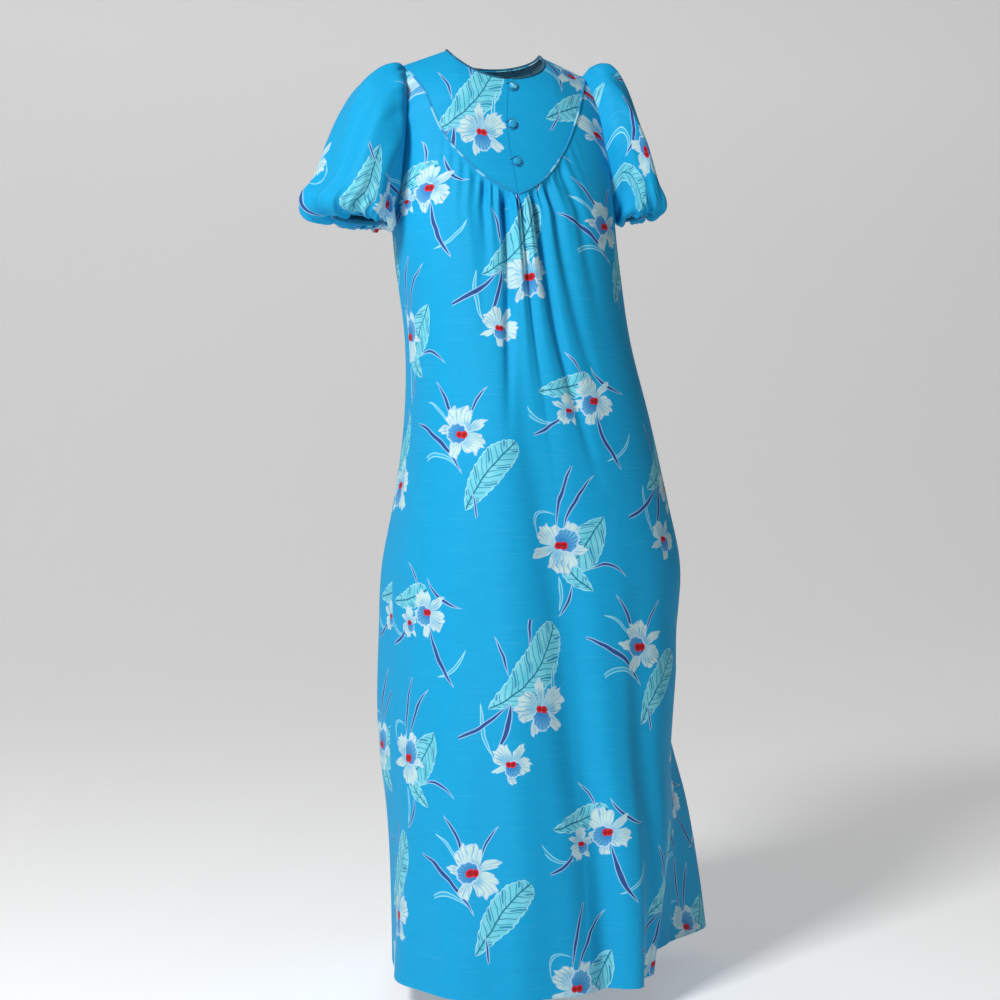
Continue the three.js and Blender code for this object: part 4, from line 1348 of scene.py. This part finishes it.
def draw_orchid(base, place, masks, wobble):
    """An orchid with pointed and ruffled petals, a round frilled lip and a red throat."""
    throat, lip, turn = nearer_orchid(place, masks)
    size = throat.part(2)
    offset = place.vector("SUBTRACT", place, throat)
    x, y = offset.part(0) / size, offset.part(1) / size
    far = (x * x + y * y).root()
    heading = x.math("ARCTAN2", y, x)
    bearing = heading - turn.part(0)
    bearing = bearing + bearing.sine(2, 0.7) * 0.16 + wobble * 0.5
    turns = bearing / math.tau
    from_top = (turns - turns.rounded()).size()
    reach = 0
    for middle, half, long, roundness in PETALS:
        lobe = from_top.times_plus(1 / half, -middle / half)
        lobe = (1 - lobe * lobe).at_least(0) ** roundness * long
        reach = lobe.at_least(reach)
    coarse, fine = (bearing.sine(rate, start) * depth for rate, start, depth in FRILLS)
    frill = coarse + fine
    edge = reach + PETAL_ROOT + frill * reach + wobble * 0.24 - far
    deep = far / (reach + PETAL_ROOT)
    strokes = bearing.sine(53) * bearing.sine(17, 2)
    blush = (0.95 - deep) * 1.1 + strokes * deep * 0.75 + wobble * 2.2
    petal = (wobble * 4).clamped().colour(PETAL, PETAL_WARM)
    petal = blush.clamped().colour(petal, PETAL_SHADE)
    petal = ((1 - reach.step(0.08, 0.14)) * 0.85).colour(petal, PETAL_LINE)
    petal = edge.step(PETAL_RIM_WIDTH, 0.03).colour(PETAL_EDGE, petal)
    drawn = edge.step(0, 0.02).colour(base, petal)
    across = (offset.part(0) - lip.part(0)) / lip.part(2)
    up = (offset.part(1) - lip.part(1)) / lip.part(2)
    lip_far = (across * across + up * up).root()
    round_lip = across.math("ARCTAN2", up, across)
    rate, start, depth = LIP_FRILL
    lip_edge = 1.04 + round_lip.sine(rate, start) * depth + wobble * 0.4 - lip_far
    lines = heading.sine(26).step(0.3, 0.5) * lip_edge.step(0.16, 0.2)
    fill = (far * 1.7 - 0.25).clamped().colour(LIP_DEEP, LIP)
    fill = (lines * 0.6).colour(fill, LIP_LINE)
    fill = lip_edge.step(LIP_RIM_WIDTH, 0.08).colour(LIP_RIM, fill)
    drawn = lip_edge.step(0, 0.05).colour(drawn, fill)
    lobe_x = x.size() - THROAT_APART
    heart = THROAT_RADIUS + wobble * 0.1 - (lobe_x * lobe_x + y * y).root()
    inside = heart.step(0.06, 0.05).colour(THROAT, THROAT_DEEP)
    return heart.step(0, 0.03).colour(drawn, inside)


DRIFT = 9.0


def print_colour(tree):
    """The whole print, read from the piece's UV map, which holds metres of flat cloth."""
    start = Signal(tree)
    flat = start.make("UVMap", {"uv_map": "UVMap"})
    place = start.vector("SCALE", flat)
    place.socket.node.inputs["Scale"].default_value = 1000
    noise = start.make("TexNoise", None, {"Vector": flat, "Scale": 42.0, "Detail": 1.5})
    wobble = noise - 0.5
    drifted = start.make("TexNoise", None, {"Vector": flat, "Scale": 26.0, "Detail": 1.0}, 1)
    drifted = start.vector("MULTIPLY_ADD", drifted, (DRIFT, DRIFT, 0), place)
    drifted = start.vector("SUBTRACT", drifted, (DRIFT / 2, DRIFT / 2, 0))
    nearest, masks = nearest_spray(drifted)
    colour = (noise * 0.6).colour(CLOTH_BLUE, CLOTH_DEEP)
    for rows in LEAVES:
        colour = draw_leaf(colour, nearest, masks, rows, wobble)
    colour = draw_blades(colour, nearest, masks, AQUA_BLADES, AQUA, AQUA_RIM)
    colour = draw_blades(colour, nearest, masks, NAVY_BLADES, NAVY, NAVY_RIM)
    return draw_orchid(colour, nearest, masks, wobble), flat


# %% [markdown]
# ## The cloth itself
# The cloth is a plain linen-like weave. Some threads are thicker than others, which shows as
# short level streaks, and the weave has a faint sheen where light grazes it. On the wrong side
# the dye has soaked through only in part, so the same print shows paler.

# %% The finish of printed cloth


def new_material(name, **constants):
    material = bpy.data.materials.new(name)
    material.use_nodes = True
    shader = material.node_tree.nodes["Principled BSDF"]
    for socket, value in constants.items():
        shader.inputs[socket.replace("_", " ")].default_value = value
    return material, shader, material.node_tree


def weave(flat):
    """The threads of the weave, from 0 to 1, and the thicker threads among the level ones."""
    threads = []
    for rates in ((90, 1300, 1), (1300, 70, 1), (14, 420, 1)):
        stretched = flat.vector("MULTIPLY", flat, rates)
        sockets = {"Vector": stretched, "Scale": 1.0, "Detail": 2.0}
        threads.append(flat.make("TexNoise", None, sockets))
    return threads[0] * 0.65 + threads[1] * 0.35, threads[2]


def printed_cloth(name, fade=0.0):
    material, shader, tree = new_material(
        name, Roughness=0.68, Sheen_Weight=0.02, Sheen_Roughness=0.4, Specular_IOR_Level=0.18,
    )
    colour, flat = print_colour(tree)
    threads, slubs = weave(flat)
    shade = (threads * 0.42 + slubs * 0.3 + 0.66).clamped()
    woven = colour.make(
        "Mix", {"data_type": "RGBA", "blend_type": "MULTIPLY"},
        {0: 1.0, 6: colour, 7: shade.colour((0, 0, 0, 1), (1, 1, 1, 1))}, 2,
    )
    woven = (slubs.step(0.68, 0.2) * 0.09).colour(woven, SLUB)
    if fade:
        woven = colour.make("Mix", {"data_type": "RGBA"}, {0: fade, 6: woven, 7: FADED}, 2)
    tree.links.new(woven.socket, shader.inputs["Base Color"])
    bumped = colour.make("Bump", None, {"Strength": 0.5, "Distance": 0.0004, "Height": threads})
    tree.links.new(bumped.socket, shader.inputs["Normal"])
    print(name, "nodes:", len(tree.nodes))
    return material


SLUB, FADED = paint(120, 205, 235), paint(150, 205, 225)
right_side = printed_cloth("printed_cloth_right_side")
wrong_side = printed_cloth("printed_cloth_wrong_side", fade=0.5)
for panel in panels:
    panel.data.materials[0] = right_side
    panel.data.materials[1] = wrong_side

# %% [markdown]
# ## Piping, binding, cuffs, buttons and loops
# The small pieces are cut on the bias from the same cloth, or from a plain dark one for the
# neck. They are so narrow that no flower fits on them, so each shows the ground colour, mottled
# where a strip happened to cross a leaf or a flower, with the weave running at a slant.

# %% Finishes of the small pieces


def bias_cloth(name, ground, patch, share, scale=60.0, roughness=0.75):
    """Cloth cut on the bias: ground colour with blurred patches of the print."""
    material, shader, tree = new_material(
        name, Roughness=roughness, Sheen_Weight=0.12, Specular_IOR_Level=0.35,
    )
    start = Signal(tree)
    here = start.make("TexCoord", output=3)
    patches = start.make("TexNoise", None, {"Vector": here, "Scale": scale, "Detail": 1.5})
    slanted = start.vector("MULTIPLY", here, (1400, 1400, 500))
    threads = start.make("TexNoise", None, {"Vector": slanted, "Scale": 1.0, "Detail": 1.0})
    colour = patches.step(1 - share, 0.06).colour(ground, patch)
    colour = threads.times_plus(0.35, 0).colour(colour, tuple(v * 0.6 for v in ground[:3]) + (1,))
    tree.links.new(colour.socket, shader.inputs["Base Color"])
    bumped = start.make("Bump", None, {"Strength": 0.4, "Distance": 0.0003, "Height": threads})
    tree.links.new(bumped.socket, shader.inputs["Normal"])
    return material


DARK_BINDING = paint(18, 92, 122)
finishes = {
    # The cuff's ground and patches are a darker blue than the cloth: painted shade, for the band
    # hangs in shadow under the puff of the sleeve.
    "cuff": bias_cloth("cuff_cloth", paint(0, 140, 190), paint(60, 176, 212), 0.34, 30),
    "piping": bias_cloth("piping_cloth", paint(0, 150, 205), paint(150, 215, 235), 0.42, 40),
    "neck_binding": bias_cloth("binding_cloth", DARK_BINDING, paint(40, 130, 160), 0.4, 50),
    "button_loop": bias_cloth("loop_cloth", paint(10, 130, 182), paint(60, 170, 205), 0.4, 90),
    "button_": bias_cloth("button_cloth", paint(8, 156, 206), LEAF_PALE, 0.44, 75),
    "stitches": bias_cloth("thread", paint(20, 150, 200), paint(70, 180, 220), 0.4, 300),
}
for name, piece in pieces.items():
    for part_of_name, finish in finishes.items():
        if part_of_name in name and len(piece.data.materials) == 0:
            piece.data.materials.append(finish)
for name in ("cuff_right_band", "cuff_left_band"):
    for slot in range(2):
        pieces[name].data.materials[slot] = finishes["cuff"]
print("materials:", [m.name for m in bpy.data.materials if m.users])

# %% [markdown]
# ## Hand the pieces to the frame
# Each piece rides on the dress's one body and stands for the imported node that it was made for.

# %% Ride and replace
PRINTED, YOKE = "printed_cloth", "yoke_cloth"
ROLES = {
    "front_cloth": ("front_panel", PRINTED),
    "front_hem_stitches": ("front_panel", PRINTED),
    "neck_binding_strip": ("neck_binding", "binding_cloth"),
}
for hand in ("right", "left"):
    ROLES[f"back_{hand}_cloth"] = (f"back_{hand}", PRINTED)
    ROLES[f"back_{hand}_hem_stitches"] = (f"back_{hand}", PRINTED)
    ROLES[f"yoke_{hand}_cloth"] = (f"yoke_{hand}", YOKE)
    ROLES[f"yoke_{hand}_stitches"] = (f"yoke_{hand}", YOKE)
    ROLES[f"sleeve_{hand}_cloth"] = (f"sleeve_{hand}", PRINTED)
    ROLES[f"cuff_{hand}_band"] = (f"cuff_{hand}", "cuff_cloth")
    ROLES[f"piping_{hand}_cord"] = (f"piping_{hand}", "piping_cloth")
for k in (1, 2, 3):
    ROLES[f"button_{k}_covered"] = (f"button_{k}", "button_cloth")
    ROLES[f"button_loop_{k}_cord"] = (f"button_loop_{k}", "loop_cord")
for name, (node, finish) in ROLES.items():
    piece = pieces[name]
    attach(piece, "root")
    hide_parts(node)
print("pieces:", len(ROLES), "nodes replaced:", len({node for node, _ in ROLES.values()}))
